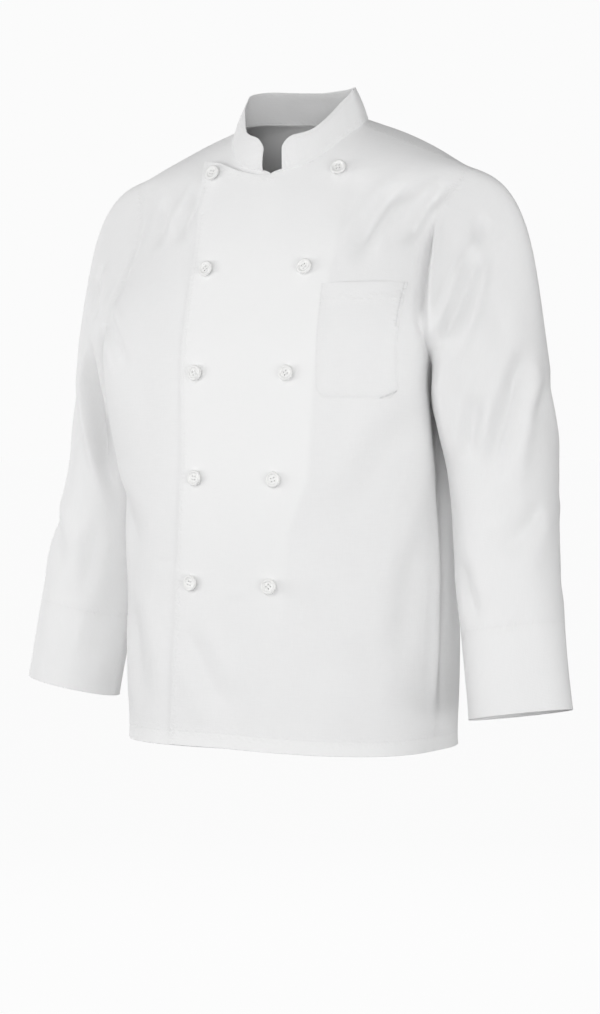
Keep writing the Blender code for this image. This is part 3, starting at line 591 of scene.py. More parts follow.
def cells_of(ids, flip):
    low, high = ids[:-1], ids[1:]
    quad = np.stack([low[:, :-1], low[:, 1:], high[:, 1:], high[:, :-1]], -1).reshape(-1, 4)
    return quad[:, ::-1] if flip else quad


def pairs_round(count):
    """Each number below count with the next one round."""
    return [(k, (k + 1) % count) for k in range(count)]


def edges_of(cells):
    """Directed edges of four-sided cells, without those of no length, and which of them are the rim."""
    edges = np.concatenate([cells[:, list(pair)] for pair in pairs_round(4)])
    edges = edges[edges[:, 0] != edges[:, 1]]
    present = set(map(tuple, edges))
    rim = np.array([(p, q) for p, q in present if (q, p) not in present])
    return edges, rim


def weld():
    """The whole cloth, cut to the part's sizes and joined at the seams."""
    levels = panel_levels()
    front = panel_rows(FRONT, levels, ACROSS)
    back = panel_rows(BACK, levels, ACROSS)
    seam = (front[: ROWS_SIDE + 1, -1] + back[: ROWS_SIDE + 1, -1]) / 2
    front[: ROWS_SIDE + 1, -1] = seam
    back[: ROWS_SIDE + 1, -1] = seam
    shoulder = (front[-1] + back[-1]) / 2
    front[-1] = shoulder
    back[-1] = shoulder
    sleeve = sleeve_grid(armhole_ring(front, back))
    cloth = Cloth()
    side_of = lambda p: "L" if p[0] > 1e-6 else ("R" if p[0] < -1e-6 else "B")
    left = lambda p: "L"
    right = lambda p: "R"
    cloth.add("front_left", front, left, False)
    cloth.add("front_left", lap_grid(levels, -1, lap_edge, LAP_TOP_Z), left, True)
    cloth.add("front_right", mirror(front), right, True)
    cloth.add("front_right", lap_grid(levels, 1, under_edge, UNDER_TOP_Z), right, False)
    cloth.add("back", back, side_of, True)
    cloth.add("back", mirror(back), side_of, False)
    cloth.add("sleeve_left", sleeve, side_of, False)
    cloth.add("sleeve_right", mirror(sleeve), side_of, True)
    cloth.close()
    return cloth


# ---------------------------------------------------------------- easing, creases and fullness
# how far over to the left the outer front has cloth behind it: the under front and its turned edge
BACKED_Z = (-0.737, -0.480, -0.420, -0.150, -0.045)
BACKED_EDGE = (0.071, 0.076, 0.098, 0.103, 0.100)
EASE_PASSES = 38
CREASE_REACH = 4  # a crease is felt this many half widths away
CREASE_START = 0.30  # share of its length over which it deepens
CREASE_END = 0.36  # and over which it runs out
CREASE_POWER = 1.7
RISE_AT = 2.0  # the cloth beside it rises this many half widths away
RISE_WIDTH = 0.95
UNDULATION = 0.0010
SLOW_WAVES = (10, 5)  # how quickly it changes, across and up
QUICK_WAVES = (24, 13)
QUICK_SHARE = 0.4
NECK_PASSES = 14
LAP_STAND = 0.0002  # the outer front's free edge stands off this much more
LAP_STAND_RUN = 0.016
CORNER_LIFT = 0.0035  # its top corner stands off too
CORNER_RUN = 0.050
BAND_RISE = 0.0004  # the outer front is fuller over the under front
BAND_FADE = 0.008
BAND_TOP = -0.07
BAND_TOP_FADE = 0.04
HEM_TURN = 0.017
CUFF_TURN = 0.100


def path_through(points, steps):
    """A smooth line through a few points."""
    points = np.array(points, float)
    padded = np.concatenate([[2 * points[0] - points[1]], points, [2 * points[-1] - points[-2]]])
    out = []
    for a, b, c, d in zip(padded, padded[1:], padded[2:], padded[3:]):
        slope, bend, twist = c - a, 2 * a - 5 * b + 4 * c - d, 3 * b - a - 3 * c + d
        for t in np.linspace(0, 1, steps, endpoint=False):
            out.append(0.5 * (2 * b + slope * t + bend * t**2 + twist * t**3))
    out.append(points[-1])
    return np.array(out)


FOLD_HOSTS = {
    "front": ("front_left", "front_right"),
    "left": ("sleeve_left",),
    "right": ("sleeve_right",),
    "back": ("back",),
    "side_left": ("front_left", "back"),
    "armhole_left": ("front_left", "sleeve_left"),
    "armhole_right": ("front_right", "sleeve_right"),
}


def host_tree(cloth, points, names):
    quads = np.concatenate([cells_of(ids, flip) for name in names for ids, flip in cloth.pieces[name]])
    return BVHTree.FromPolygons(points.tolist(), quads.tolist())


def crease_push(cloth, points, normals):
    """How far every point sinks into the creases, above zero, or stands up beside them."""
    push = np.zeros(len(points))
    trees = {which: host_tree(cloth, points, names) for which, names in FOLD_HOSTS.items()}
    for which, line, width_start, width_end, depth, rise_left, rise_right in FOLDS:
        found = [trees[which].find_nearest(Vector(p)) for p in path_through(line, 8)]
        path = np.array([hit[0] for hit in found])
        facing = np.array([hit[1] for hit in found])
        share = run_along(path) / run_along(path)[-1]
        reach = CREASE_REACH * max(width_start, width_end)
        near = np.where(((points > path.min(0) - reach) & (points < path.max(0) + reach)).all(1))[0]
        start, step = path[:-1], np.diff(path, axis=0)
        p = points[near][:, None]
        t = np.clip(((p - start) * step).sum(2) / (step**2).sum(1), 0, 1)
        foot = start + t[..., None] * step
        away = np.linalg.norm(p - foot, axis=2)
        best = away.argmin(1)
        row = np.arange(len(near))
        along = share[best] + (share[best + 1] - share[best]) * t[row, best]
        width = width_start + (width_end - width_start) * along
        across = unit(np.cross(facing[best], step[best]))
        side = np.sign(((points[near] - foot[row, best]) * across).sum(1))
        u = away[row, best] / width
        taper = smooth(along / CREASE_START) * smooth((1 - along) / CREASE_END)
        beside = np.exp(-(((u - RISE_AT) / RISE_WIDTH) ** 2))
        rise = np.where(side > 0, rise_left, rise_right) * beside
        alike = smooth(((normals[near] * facing[best]).sum(1) - 0.05) / 0.5)
        push[near] += depth * taper * alike * (np.exp(-(u**CREASE_POWER)) - rise)
    return push


def undulation(points):
    """Slow unevenness of hanging cloth, longer up and down than across."""
    out = np.zeros(len(points))
    for i, (x, y, z) in enumerate(points):
        slow = noise.noise(Vector((x * SLOW_WAVES[0], y * SLOW_WAVES[0], z * SLOW_WAVES[1])))
        quick = noise.noise(Vector((x * QUICK_WAVES[0] + 7, y * QUICK_WAVES[0], z * QUICK_WAVES[1])))
        out[i] = UNDULATION * (slow + QUICK_SHARE * quick)
    return out


# fullness: piece, its middle, its reach in x, y and z, and how far the cloth moves there
BULGES = (("sleeve_left", (0.228, -0.040, -0.335), (0.030, 0.042, 0.085), (0.0085, -0.040, 0.0)),)
BULGE_FREE = 0.030  # fullness starts at the armhole and is whole this far from it


def swell(cloth, points):
    """Moves the cloth out to its fullness."""
    for piece, middle, reach, move in BULGES:
        every = cloth.numbers(piece)
        away = (points[every] - np.array(middle)) / np.array(reach)
        armhole = points[cloth.pieces[piece][0][0][0]]
        free = smooth(distance_to([armhole], points[every]) / BULGE_FREE)
        points[every] += (np.exp(-(away**2).sum(1)) * free)[:, None] * np.array(move)
    return points


def neck_ids(cloth):
    """The neckline's point numbers, from the left front's end round to the right front's."""
    parts = []
    for front, back in (("front_left", 0), ("front_right", 1)):
        ids = cloth.pieces[front][0][0][NECK_ROW:, 0]
        behind = cloth.pieces["back"][back][0][NECK_ROW:, 0]
        parts.append(np.concatenate([ids, behind[::-1][1:]]))
    return np.concatenate([parts[0], parts[1][::-1][1:]])


def round_neck(cloth):
    """Rounds the neckline behind the shoulders, where the two halves of the back meet."""
    ids = neck_ids(cloth)
    for _ in range(NECK_PASSES):
        line = cloth.points[ids]
        change = (line[:-2] - 2 * line[1:-1] + line[2:]) / 4
        cloth.points[ids[1:-1]] += change * smooth(line[1:-1, 1:2] / 0.02)


def shape_cloth(cloth):
    """Eased, creased points of the welded cloth and their normals."""
    round_neck(cloth)
    cloth.flat_points = cloth.ease(cloth.points, EASE_PASSES, hold=cloth.is_rim)
    points = cloth.ease(swell(cloth, cloth.points.copy()), EASE_PASSES, hold=cloth.is_rim)
    cloth.points = points
    normals = unit(cloth.ease(cloth.normals(), 3))
    move = undulation(points) - crease_push(cloth, points, normals)
    for i in cloth.numbers("front_left"):
        x, _, z = points[i]
        if x < 0:
            move[i] += LAP_STAND * smooth(1 - (lap_edge(z) + x) / LAP_STAND_RUN)
            from_corner = math.hypot(x + LAP_TOP_X[-1], z - LAP_TOP_Z[-1])
            move[i] += CORNER_LIFT * smooth(1 - from_corner / CORNER_RUN)
        backed = np.interp(z, BACKED_Z, BACKED_EDGE)
        below_top = smooth((BAND_TOP - z) / BAND_TOP_FADE)
        move[i] += BAND_RISE * smooth(0.5 + (backed - x) / BAND_FADE) * below_top
    drop = np.zeros(len(points))
    for i in cloth.numbers("front_right"):
        drop[i] = lap_depth(points[i])
    cloth.points = points + normals * (move - drop)[:, None]
    cloth.shading = unit(cloth.ease(cloth.normals(), 1))
    return cloth


# ---------------------------------------------------------------- shells
SAMPLE_STEP = 0.0008  # lines are measured to by points this far apart
RIM_ROUND = 0.3  # how round a free rim is, as a share of the thickness


def measure(grid):
    """Distance across and up at each point of a grid."""
    across, up = np.zeros(grid.shape[:2]), np.zeros(grid.shape[:2])
    across[:, 1:] = np.cumsum(np.linalg.norm(np.diff(grid, axis=1), axis=2), 1)
    up[1:] = np.cumsum(np.linalg.norm(np.diff(grid, axis=0), axis=2), 0)
    return across, up


def distance_to(lines, points):
    """Distance from each point to the nearest of some lines."""
    samples = []
    for line in lines:
        samples.append(resample(line, max(2, int(run_along(line)[-1] / SAMPLE_STEP))))
    samples = np.concatenate(samples)
    tree = KDTree(len(samples))
    for i, p in enumerate(samples):
        tree.insert(Vector(p), i)
    tree.balance()
    return np.array([tree.find(Vector(p))[2] for p in points])


def collection_add(name, mesh, material):
    """An object of a mesh, in the scene."""
    obj = bpy.data.objects.new(name, mesh)
    bpy.context.scene.collection.objects.link(obj)
    mesh.materials.append(material)
    return obj


def shell(name, grids, points_of, normals_of, thickness, material, fields, sewn=None):
    """A thin shell over grids of point numbers, with a rounded rim, lengths as UVs and distance fields.

    grids holds (ids, flip, across, up) with across and up in metres at each grid point.
    sewn says which points lie on a seam, where the rim is square and meets the next piece.
    """
    cells, corner_uv = [], []
    for ids, flip, across, up in grids:
        uv = np.stack([across, up], -1)
        corners = np.stack([uv[:-1, :-1], uv[:-1, 1:], uv[1:, 1:], uv[1:, :-1]], 2).reshape(-1, 4, 2)
        corner_uv.append(corners[:, ::-1] if flip else corners)
        cells.append(cells_of(ids, flip))
    cells, corner_uv = np.concatenate(cells), np.concatenate(corner_uv)
    used = np.unique(cells)
    local = np.full(used.max() + 1, -1)
    local[used] = np.arange(len(used))
    cells = local[cells]
    outer, normal = points_of[used].copy(), normals_of[used]
    _, rim = edges_of(cells)
    outward = np.zeros_like(outer)
    square = unit(np.cross(outer[rim[:, 1]] - outer[rim[:, 0]], normal[rim[:, 0]] + normal[rim[:, 1]]))
    for k in range(2):
        for axis in range(3):
            outward[:, axis] += np.bincount(rim[:, k], square[:, axis], len(outer))
    outward = unit(outward)
    on_rim = np.unique(rim)
    free = np.ones(len(on_rim)) if sewn is None else 1.0 - sewn[used][on_rim]
    outer[on_rim] -= outward[on_rim] * (free * (SEAM_TRIM + RIM_ROUND * thickness))[:, None]
    middle_id = np.full(len(outer), -1)
    middle_id[on_rim] = np.arange(len(on_rim)) + 2 * len(outer)
    inner = outer - normal * thickness
    middle = (outer + inner)[on_rim] / 2 + outward[on_rim] * (free * thickness * RIM_ROUND)[:, None]
    n = len(outer)
    vertices = np.concatenate([outer, inner, middle])
    a, b = rim[:, 0], rim[:, 1]
    upper = np.stack([b, a, middle_id[a], middle_id[b]], 1)
    lower = np.stack([middle_id[b], middle_id[a], a + n, b + n], 1)
    faces = np.concatenate([cells, cells[:, ::-1] + n, upper, lower])
    vertex_normals = np.concatenate([normal, -normal, outward[on_rim]])
    loop_uv = np.concatenate([corner_uv, corner_uv[:, ::-1]])
    first_uv = np.zeros((n, 2))
    first_uv[cells.ravel()] = corner_uv.reshape(-1, 2)
    uv_all = np.concatenate([first_uv, first_uv, first_uv[on_rim]])
    loop_uv = np.concatenate([loop_uv, uv_all[upper], uv_all[lower]]).reshape(-1, 4, 2)
    polygons, loop_index = [], []
    for f, face in enumerate(faces):
        keep = [k for k in range(4) if face[k] != face[k - 1]]
        polygons.append([int(face[k]) for k in keep])
        loop_index.extend((f, k) for k in keep)
    loop_index = np.array(loop_index)
    mesh = bpy.data.meshes.new(name)
    mesh.from_pydata(vertices.tolist(), [], polygons)
    layer = mesh.uv_layers.new(name="cloth")
    chosen = loop_uv[loop_index[:, 0], loop_index[:, 1]]
    layer.data.foreach_set("uv", chosen.astype(np.float32).ravel())
    for field, all_values in fields.items():
        values = all_values[used]
        values = np.concatenate([values, values, values[on_rim]])
        attribute = mesh.attributes.new(field, "FLOAT", "POINT")
        attribute.data.foreach_set("value", values.astype(np.float32))
    mesh.shade_smooth()
    chosen = vertex_normals[faces[loop_index[:, 0], loop_index[:, 1]]]
    mesh.normals_split_custom_set(chosen.tolist())
    return collection_add(name, mesh, material)


# ---------------------------------------------------------------- stitches
STITCH_PITCH = 0.0032
STITCH_LENGTH = 0.0024
STITCH_RADIUS = 0.00022
STITCH_SIDES = 6
STITCH_AHEAD = 0.001  # how far before and behind a stitch its direction is taken
# one stitch as a row of rings: place along it in half lengths, girth and height in radii
STITCH_FORM = (
    (-1.0, 0.15, -1.0),
    (-0.8, 0.75, -0.6),
    (-0.3, 1.00, -0.1),
    (0.3, 1.00, -0.1),
    (0.8, 0.75, -0.6),
    (1.0, 0.15, -1.0),
)
EDGE_STITCH = 0.006
HEM_LINE = (HEM_TURN, "low")
CUFF_LINE = (CUFF_TURN, "high")
# stitch lines of each grid of a piece: how far in, and from which edge of the grid
STITCH_LINES = {
    "front_left": ([HEM_LINE], [HEM_LINE, (EDGE_STITCH, "last"), (EDGE_STITCH, "high")]),
    "front_right": ([HEM_LINE],),
    "back": ([HEM_LINE], [HEM_LINE]),
    "sleeve_left": ([CUFF_LINE],),
    "sleeve_right": ([CUFF_LINE],),
}


def value_at(at, run, values):
    """The value at one place along a line of points or normals."""
    return np.array([np.interp(at, run, values[:, k]) for k in range(3)])


def inset_line(grid, normals, distance, edge):
    """The line at a distance from one edge of a grid, with its normals."""
    turn = {
        "low": lambda g: g,
        "high": lambda g: g[::-1],
        "first": lambda g: g.transpose(1, 0, 2),
        "last": lambda g: g[:, ::-1].transpose(1, 0, 2),
    }[edge]
    grid, normals = turn(grid), turn(normals)
    line, facing = [], []
    for k in range(grid.shape[1]):
        run = run_along(grid[:, k])
        line.append(value_at(distance, run, grid[:, k]))
        facing.append(value_at(distance, run, normals[:, k]))
    return np.array(line), unit(np.array(facing))


def stitch_mesh(name, lines, material):
    """Short arched threads along lines of (points, normals)."""
    vertices, faces = [], []
    for line, facing in lines:
        run = run_along(line)
        for at in np.arange(STITCH_PITCH / 2, run[-1], STITCH_PITCH):
            centre = value_at(at, run, line)
            ahead = value_at(min(at + STITCH_AHEAD, run[-1]), run, line)
            behind = value_at(max(at - STITCH_AHEAD, 0), run, line)
            up = unit(value_at(at, run, facing))
            along = unit(ahead - behind)
            side = np.cross(up, along)
            start = len(vertices)
            for place, girth, height in STITCH_FORM:
                middle = centre + along * place * STITCH_LENGTH / 2 + up * height * STITCH_RADIUS
                for k in range(STITCH_SIDES):
                    angle = 2 * math.pi * k / STITCH_SIDES
                    spoke = side * math.cos(angle) + up * math.sin(angle)
                    vertices.append(middle + spoke * STITCH_RADIUS * girth)
            for ring in range(len(STITCH_FORM) - 1):
                for k, j in pairs_round(STITCH_SIDES):
                    a = start + ring * STITCH_SIDES + k
                    b = start + ring * STITCH_SIDES + j
                    faces.append((a, b, b + STITCH_SIDES, a + STITCH_SIDES))
    mesh = bpy.data.meshes.new(name)
    mesh.from_pydata([tuple(v) for v in vertices], [], faces)
    mesh.shade_smooth()
    return collection_add(name, mesh, material)


# ---------------------------------------------------------------- materials
class Graph:
    """A few words for building a material's nodes."""

    def __init__(self, name):
        self.material = bpy.data.materials.new(name)
        self.material.use_nodes = True
        self.tree = self.material.node_tree
        self.shader = self.tree.nodes["Principled BSDF"]

    def add(self, kind, **settings):
        node = self.tree.nodes.new(kind)
        for key, value in settings.items():
            setattr(node, key, value)
        return node

    def put(self, socket, value):
        if isinstance(value, bpy.types.NodeSocket):
            self.tree.links.new(value, socket)
        else:
            socket.default_value = value

    def math(self, operation, *values):
        node = self.add("ShaderNodeMath", operation=operation)
        for socket, value in zip(node.inputs, values):
            self.put(socket, value)
        return node.outputs[0]

    def times(self, value, factor):
        return self.math("MULTIPLY", value, factor)

    def plus(self, value, other):
        return self.math("ADD", value, other)

    def total(self, terms):
        out = terms[0]
        for term in terms[1:]:
            out = self.plus(out, term)
        return out

    def field(self, name):
        return self.add("ShaderNodeAttribute", attribute_name=name).outputs["Fac"]

    def place(self):
        return self.add("ShaderNodeTexCoord").outputs["Object"]

    def bell(self, value, centre, width):
        """1 where value is centre, falling away over width."""
        away = self.math("DIVIDE", self.math("SUBTRACT", value, centre), width)
        return self.math("EXPONENT", self.times(self.times(away, away), -1.0))

    def noise(self, vector, scale, detail=2.0, roughness=0.5):
        node = self.add("ShaderNodeTexNoise")
        self.put(node.inputs["Vector"], vector)
        node.inputs["Scale"].default_value = scale
        node.inputs["Detail"].default_value = detail
        node.inputs["Roughness"].default_value = roughness
        return node.outputs["Fac"]

    def grain(self, vector, stretch, *noise_settings):
        """Noise that is finer along some axes than along others."""
        node = self.add("ShaderNodeMapping")
        self.put(node.inputs["Vector"], vector)
        node.inputs["Scale"].default_value = stretch
        return self.noise(node.outputs["Vector"], *noise_settings)

    def ramp(self, value, low, high, start=0.0, end=1.0):
        """From the colour low at start to the colour high at end."""
        node = self.add("ShaderNodeValToRGB")
        for element, position, colour in zip(node.color_ramp.elements, (start, end), (low, high)):
            element.position = position
            element.color = colour
        self.put(node.inputs[0], value)
        return node.outputs[0]

    def blend(self, colour, other, share):
        """From one colour to another, which is whole where share is 1."""
        node = self.add("ShaderNodeMix", data_type="RGBA")
        self.put(node.inputs["A"], colour)
        node.inputs["B"].default_value = other
        self.put(node.inputs["Factor"], share)
        return node.outputs["Result"]

    def bump(self, height, strength, distance):
        """Gives the surface a relief."""
        node = self.add("ShaderNodeBump")
        node.inputs["Strength"].default_value = strength
        node.inputs["Distance"].default_value = distance
        self.put(node.inputs["Height"], height)
        self.put(self.shader.inputs["Normal"], node.outputs["Normal"])


TONE = 0.86  # of the cotton
THIN = (TONE - 0.030, TONE - 0.030, TONE - 0.028, 1)
THICK = (TONE + 0.012, TONE + 0.012, TONE + 0.012, 1)
# lighter where cloth lies double, and painted light where the outer front lies over the under front and along
# its top edge
DOUBLE_AND_LIGHT = (TONE + 0.030, TONE + 0.031, TONE + 0.030, 1)  # where cloth lies behind the cloth
# painted shade: the colour that the grooves of sewn lines are darkened towards
PAINTED_SHADE = (TONE * 0.55, TONE * 0.55, TONE * 0.56, 1)
TWILL_ACROSS = 6900.0  # radians per metre
TWILL_UP = 3900.0
# stretch, scale, detail and roughness of each noise
WARP = ((900.0, 60.0, 1.0), 1.0, 1.0)
WEFT = ((50.0, 800.0, 1.0), 1.0, 1.0)
RUMPLE = ((1.0, 1.0, 0.6), 34.0, 3.0, 0.45)
DRIFT = ((1.0, 1.0, 0.5), 11.0, 2.0, 0.5)
PUCKER_SCALE = 210.0
# heights of the relief
TWILL_RELIEF = 0.000018
YARN_RELIEF = 0.00007
RUMPLE_RELIEF = 0.0011
PUCKER_RELIEF = 0.0009
PUCKER_WIDTH = 0.006
GROOVE_WIDTH = 0.0012


def cotton(name, lines):
    """White twill. lines lists (field, distance from it, groove depth, share of painted shade) of sewn lines,
    in metres.
    Each sewn line's groove is darkened in the base colour as painted shade.
    """
    g = Graph(name)
    uv = g.add("ShaderNodeUVMap", uv_map="cloth").outputs["UV"]
    place = g.place()
    parts = g.add("ShaderNodeSeparateXYZ")
    g.put(parts.inputs[0], uv)
    u, v = parts.outputs[0], parts.outputs[1]
    twill = g.math("SINE", g.plus(g.times(u, TWILL_ACROSS), g.times(v, TWILL_UP)))
    warp, weft = g.grain(uv, *WARP), g.grain(uv, *WEFT)
    rumple, drift = g.grain(place, *RUMPLE), g.grain(place, *DRIFT)
    pucker = g.noise(uv, PUCKER_SCALE, 1.0)
    terms = [
        g.times(twill, TWILL_RELIEF),
        g.times(warp, YARN_RELIEF),
        g.times(weft, YARN_RELIEF),
        g.times(rumple, RUMPLE_RELIEF),
    ]
    # painted shade: the base colour darkens in each sewn line's groove
    painted_shade = None
    for field, distance, depth, shade in lines:
        value = g.field(field)
        groove = g.bell(value, distance, GROOVE_WIDTH)
        beside = g.bell(value, distance, PUCKER_WIDTH)
        terms.append(g.times(groove, -depth))
        terms.append(g.times(g.times(beside, pucker), PUCKER_RELIEF))
        dark = g.times(groove, shade)
        painted_shade = dark if painted_shade is None else g.math("MAXIMUM", painted_shade, dark)
    g.bump(g.total(terms), 1.0, 1.0)
    yarn = g.times(g.plus(warp, weft), 0.25)
    plain = g.ramp(g.plus(g.times(drift, 0.5), yarn), THIN, THICK, 0.30, 0.70)
    # lighter where cloth lies double, and painted light on the outer front's overlap and top edge
    doubled_and_lit = g.blend(plain, DOUBLE_AND_LIGHT, g.field("double"))
    g.put(g.shader.inputs["Base Color"], g.blend(doubled_and_lit, PAINTED_SHADE, painted_shade))
    g.put(g.shader.inputs["Roughness"], g.plus(g.times(warp, 0.12), 0.80))
    g.shader.inputs["Specular IOR Level"].default_value = 0.25
    g.shader.inputs["Sheen Weight"].default_value = 0.12
    g.shader.inputs["Sheen Roughness"].default_value = 0.5
    return g.material


def thread(name):
    g = Graph(name)
    twist = g.noise(g.place(), 2600.0, 1.0)
    g.bump(twist, 0.6, 0.0001)
    g.put(g.shader.inputs["Base Color"], g.ramp(twist, (0.80, 0.80, 0.80, 1), (0.88, 0.88, 0.88, 1)))
    g.shader.inputs["Roughness"].default_value = 0.6
    return g.material


def button_plastic(name):
    g = Graph(name)
    place = g.place()
    cloud = g.noise(place, 120.0, 2.0)
    scuff = g.noise(place, 900.0, 3.0)
    g.put(g.shader.inputs["Base Color"], g.ramp(cloud, (0.84, 0.84, 0.83, 1), (0.90, 0.90, 0.89, 1)))
    g.put(g.shader.inputs["Roughness"], g.plus(g.times(scuff, 0.14), 0.26))
    g.bump(scuff, 0.3, 0.0001)
    return g.material


# ---------------------------------------------------------------- the cut pieces
BODY_PIECES = ("front_left", "front_right", "back")
SLEEVE_PIECES = ("sleeve_left", "sleeve_right")
FAR = 1.0  # the value of a distance where nothing is near
HEM_FADE = 0.003
CUFF_FADE = 0.004
CUFF_DOUBLE = 0.2  # how much the turned cuff and pocket top lighten the cloth


def grids_of(cloth, name):
    """(ids, flip, across, up) of each grid of a piece, measured on the cloth before its creases."""
    out = []
    for number, (ids, flip) in enumerate(cloth.pieces[name]):
        across, up = measure(cloth.flat_points[ids])
        sign = -1.0 if number else 1.0
        out.append((ids, flip, across * sign, up))
    return out


def nothing_near(cloth):
    return np.full(len(cloth.points), FAR)


def lap_double_and_light(cloth, ids):
    """Where the outer front lies double: over the under front, and along its own turned top edge.

    Over the under front it is lightened as painted light, most at chest height and less towards the hem
    and the neck; along the top edge the lightening is also a painted highlight.
    """
    flat = cloth.flat_points
    x, z = flat[ids, 0], flat[ids, 2]
    edge = np.array([lap_edge(h) for h in z])
    backed = np.interp(z, BACKED_Z, BACKED_EDGE)
    over = smooth((x + edge) / 0.010) * smooth((backed - x) / BAND_FADE + 0.5)
    # painted light: strongest at chest height, fading towards the hem and the neck
    above_hem = smooth((z + 0.62) / 0.25)
    below_neck = 1 - 0.7 * smooth((z + 0.20) / 0.12)
    # the turned top edge lies double and is lightened further as a painted highlight
    from_top = distance_to([flat[cloth.pieces["front_left"][1][0][-1]]], flat[ids])
    top = smooth(1.6 - from_top / 0.008) * smooth(-x / 0.02)
    return np.maximum(over * above_hem * below_neck, top)


def body_fields(cloth, name):
    """Distances to the hem, the sewn seams and the front's free edges, and where cloth lies double,
    with painted light on the outer front's overlap and its top edge.
    """
    flat = cloth.flat_points
    hem, seam, edge = nothing_near(cloth), nothing_near(cloth), nothing_near(cloth)
    seams, free = [], []
    for number, (ids, _) in enumerate(cloth.pieces[name]):
        _, up = measure(flat[ids])
        hem[ids] = up
        if name == "back" or number == 0:
            seams += [flat[ids[:, -1]], flat[ids[-1]], flat[ids[NECK_ROW:, 0]]]
        else:
            free += [flat[ids[:, -1]], flat[ids[-1]]]
    ids = cloth.numbers(name)
    seam[ids] = distance_to(seams, flat[ids])
    if free:
        edge[ids] = distance_to(free, flat[ids])
    double = smooth((HEM_TURN - hem) / HEM_FADE + 0.5)
    if name == "front_left":
        double[ids] = np.maximum(double[ids], lap_double_and_light(cloth, ids))
    return {"hem": hem, "seam": seam, "edge": edge, "double": double}


def sleeve_fields(cloth, name):
    """Distances to the cuff and to the sewn seams, and where cloth lies double."""
    flat = cloth.flat_points
    ids, _ = cloth.pieces[name][0]
    _, up = measure(flat[ids])
    hem, seam = nothing_near(cloth), nothing_near(cloth)
    hem[ids] = up[-1] - up
    half = (ids.shape[1] - 1) // 2
    every = cloth.numbers(name)
    seam[every] = distance_to([flat[ids[0]], flat[ids[:, half]]], flat[every])
    double = CUFF_DOUBLE * smooth((CUFF_TURN - hem) / CUFF_FADE + 0.5)
    return {"hem": hem, "seam": seam, "edge": nothing_near(cloth), "double": double}


def stitches_of(cloth, name):
    """The stitch lines of a piece."""
    lines = []
    for (ids, _), wanted in zip(cloth.pieces[name], STITCH_LINES[name]):
        for distance, edge in wanted:
            lines.append(inset_line(cloth.points[ids], cloth.shading[ids], distance, edge))
    return lines


def make_cloth_pieces(cloth, body_material, sleeve_material, thread_material):
    made = {}
    sewn = (~cloth.is_rim).astype(float)
    for name in BODY_PIECES:
        for ids, _ in cloth.pieces[name][: 2 if name == "back" else 1]:
            sewn[ids[NECK_ROW:, 0]] = 1.0
    kinds = ((BODY_PIECES, body_fields, body_material), (SLEEVE_PIECES, sleeve_fields, sleeve_material))
    for names, fields_of, material in kinds:
        for name in names:
            made[name] = shell(
                name + "_cloth", grids_of(cloth, name), cloth.points, cloth.shading, CLOTH, material,
                fields_of(cloth, name), sewn,
            )
    threads = {}
    for name in STITCH_LINES:
        threads[name] = stitch_mesh(name + "_stitches", stitches_of(cloth, name), thread_material)
    return made, threads


# ---------------------------------------------------------------- collar
COLLAR_WALL = 0.0017
COLLAR_ROWS = 14
COLLAR_STEP = 0.0035
COLLAR_CORNER_POINTS = 22
COLLAR_PASSES = 6
COLLAR_TUCK = 0.0024  # the collar's seam allowance, inside the neckline
COLLAR_STITCH = 0.0045
COLLAR_WAVE = 0.0006
COLLAR_WAVES = 95  # radians per metre
COLLAR_BELLY = 0.0012


def make_collar(cloth, material, thread_material):
    line = cloth.points[neck_ids(cloth)]
    run = run_along(line)
    first, last = COLLAR_FRONT, run[-1] - COLLAR_FRONT
    corner = np.linspace(0, COLLAR_CORNER, COLLAR_CORNER_POINTS)
    count = int((last - first) / COLLAR_STEP)
    between = np.linspace(first + COLLAR_CORNER, last - COLLAR_CORNER, count)[1:-1]
    at = np.sort(np.concatenate([first + corner, between, last - corner]))
    base = round_off(points_at(line, at), COLLAR_PASSES)
    from_end = np.minimum(at - at[0], at[-1] - at)
    short = np.clip(1 - from_end / COLLAR_CORNER, 0, 1)
    height = COLLAR_HEIGHT - COLLAR_CORNER * (1 - np.sqrt(1 - CORNER_CUT * short**2))
    along = unit(np.gradient(base, axis=0))
    outward = unit(np.cross(along, np.array([0.0, 0.0, 1.0])))
    outward *= np.sign((outward * (base - base.mean(axis=0))).sum(axis=1))[:, None]
    behind = smooth(from_end / COLLAR_LEAN_RUN)
    steepness = COLLAR_LEAN_FRONT + (COLLAR_LEAN - COLLAR_LEAN_FRONT) * behind
    grid = []
    for share in np.linspace(0, 1, COLLAR_ROWS + 1):
        rise = (height + COLLAR_TUCK) * share - COLLAR_TUCK
        lean = steepness * np.maximum(rise, 0)
        wave = COLLAR_WAVE * np.sin(at * COLLAR_WAVES) * share
        belly = COLLAR_BELLY * np.sin(math.pi * share)
        grid.append(base - outward * (lean - belly - wave)[:, None] + np.array([0, 0, 1.0]) * rise[:, None])
    grid = np.array(grid)
    points = grid.reshape(-1, 3)
    ids = np.arange(len(points)).reshape(grid.shape[:2])
    normal_grid = unit(np.cross(np.gradient(grid, axis=0), np.gradient(grid, axis=1)))
    normals = normal_grid.reshape(-1, 3)
    across, up = measure(grid)
    low = distance_to([grid[1]], points)
    free = distance_to([grid[-1], grid[:, 0], grid[:, -1]], points)
    fields = {"seam": low, "edge": free, "double": np.zeros(len(points))}
    piece = shell("collar_cloth", [(ids, True, across, up)], points, normals, COLLAR_WALL, material, fields)
    lines = [inset_line(grid, normal_grid, COLLAR_STITCH, "high")]
    return piece, stitch_mesh("collar_stitches", lines, thread_material)


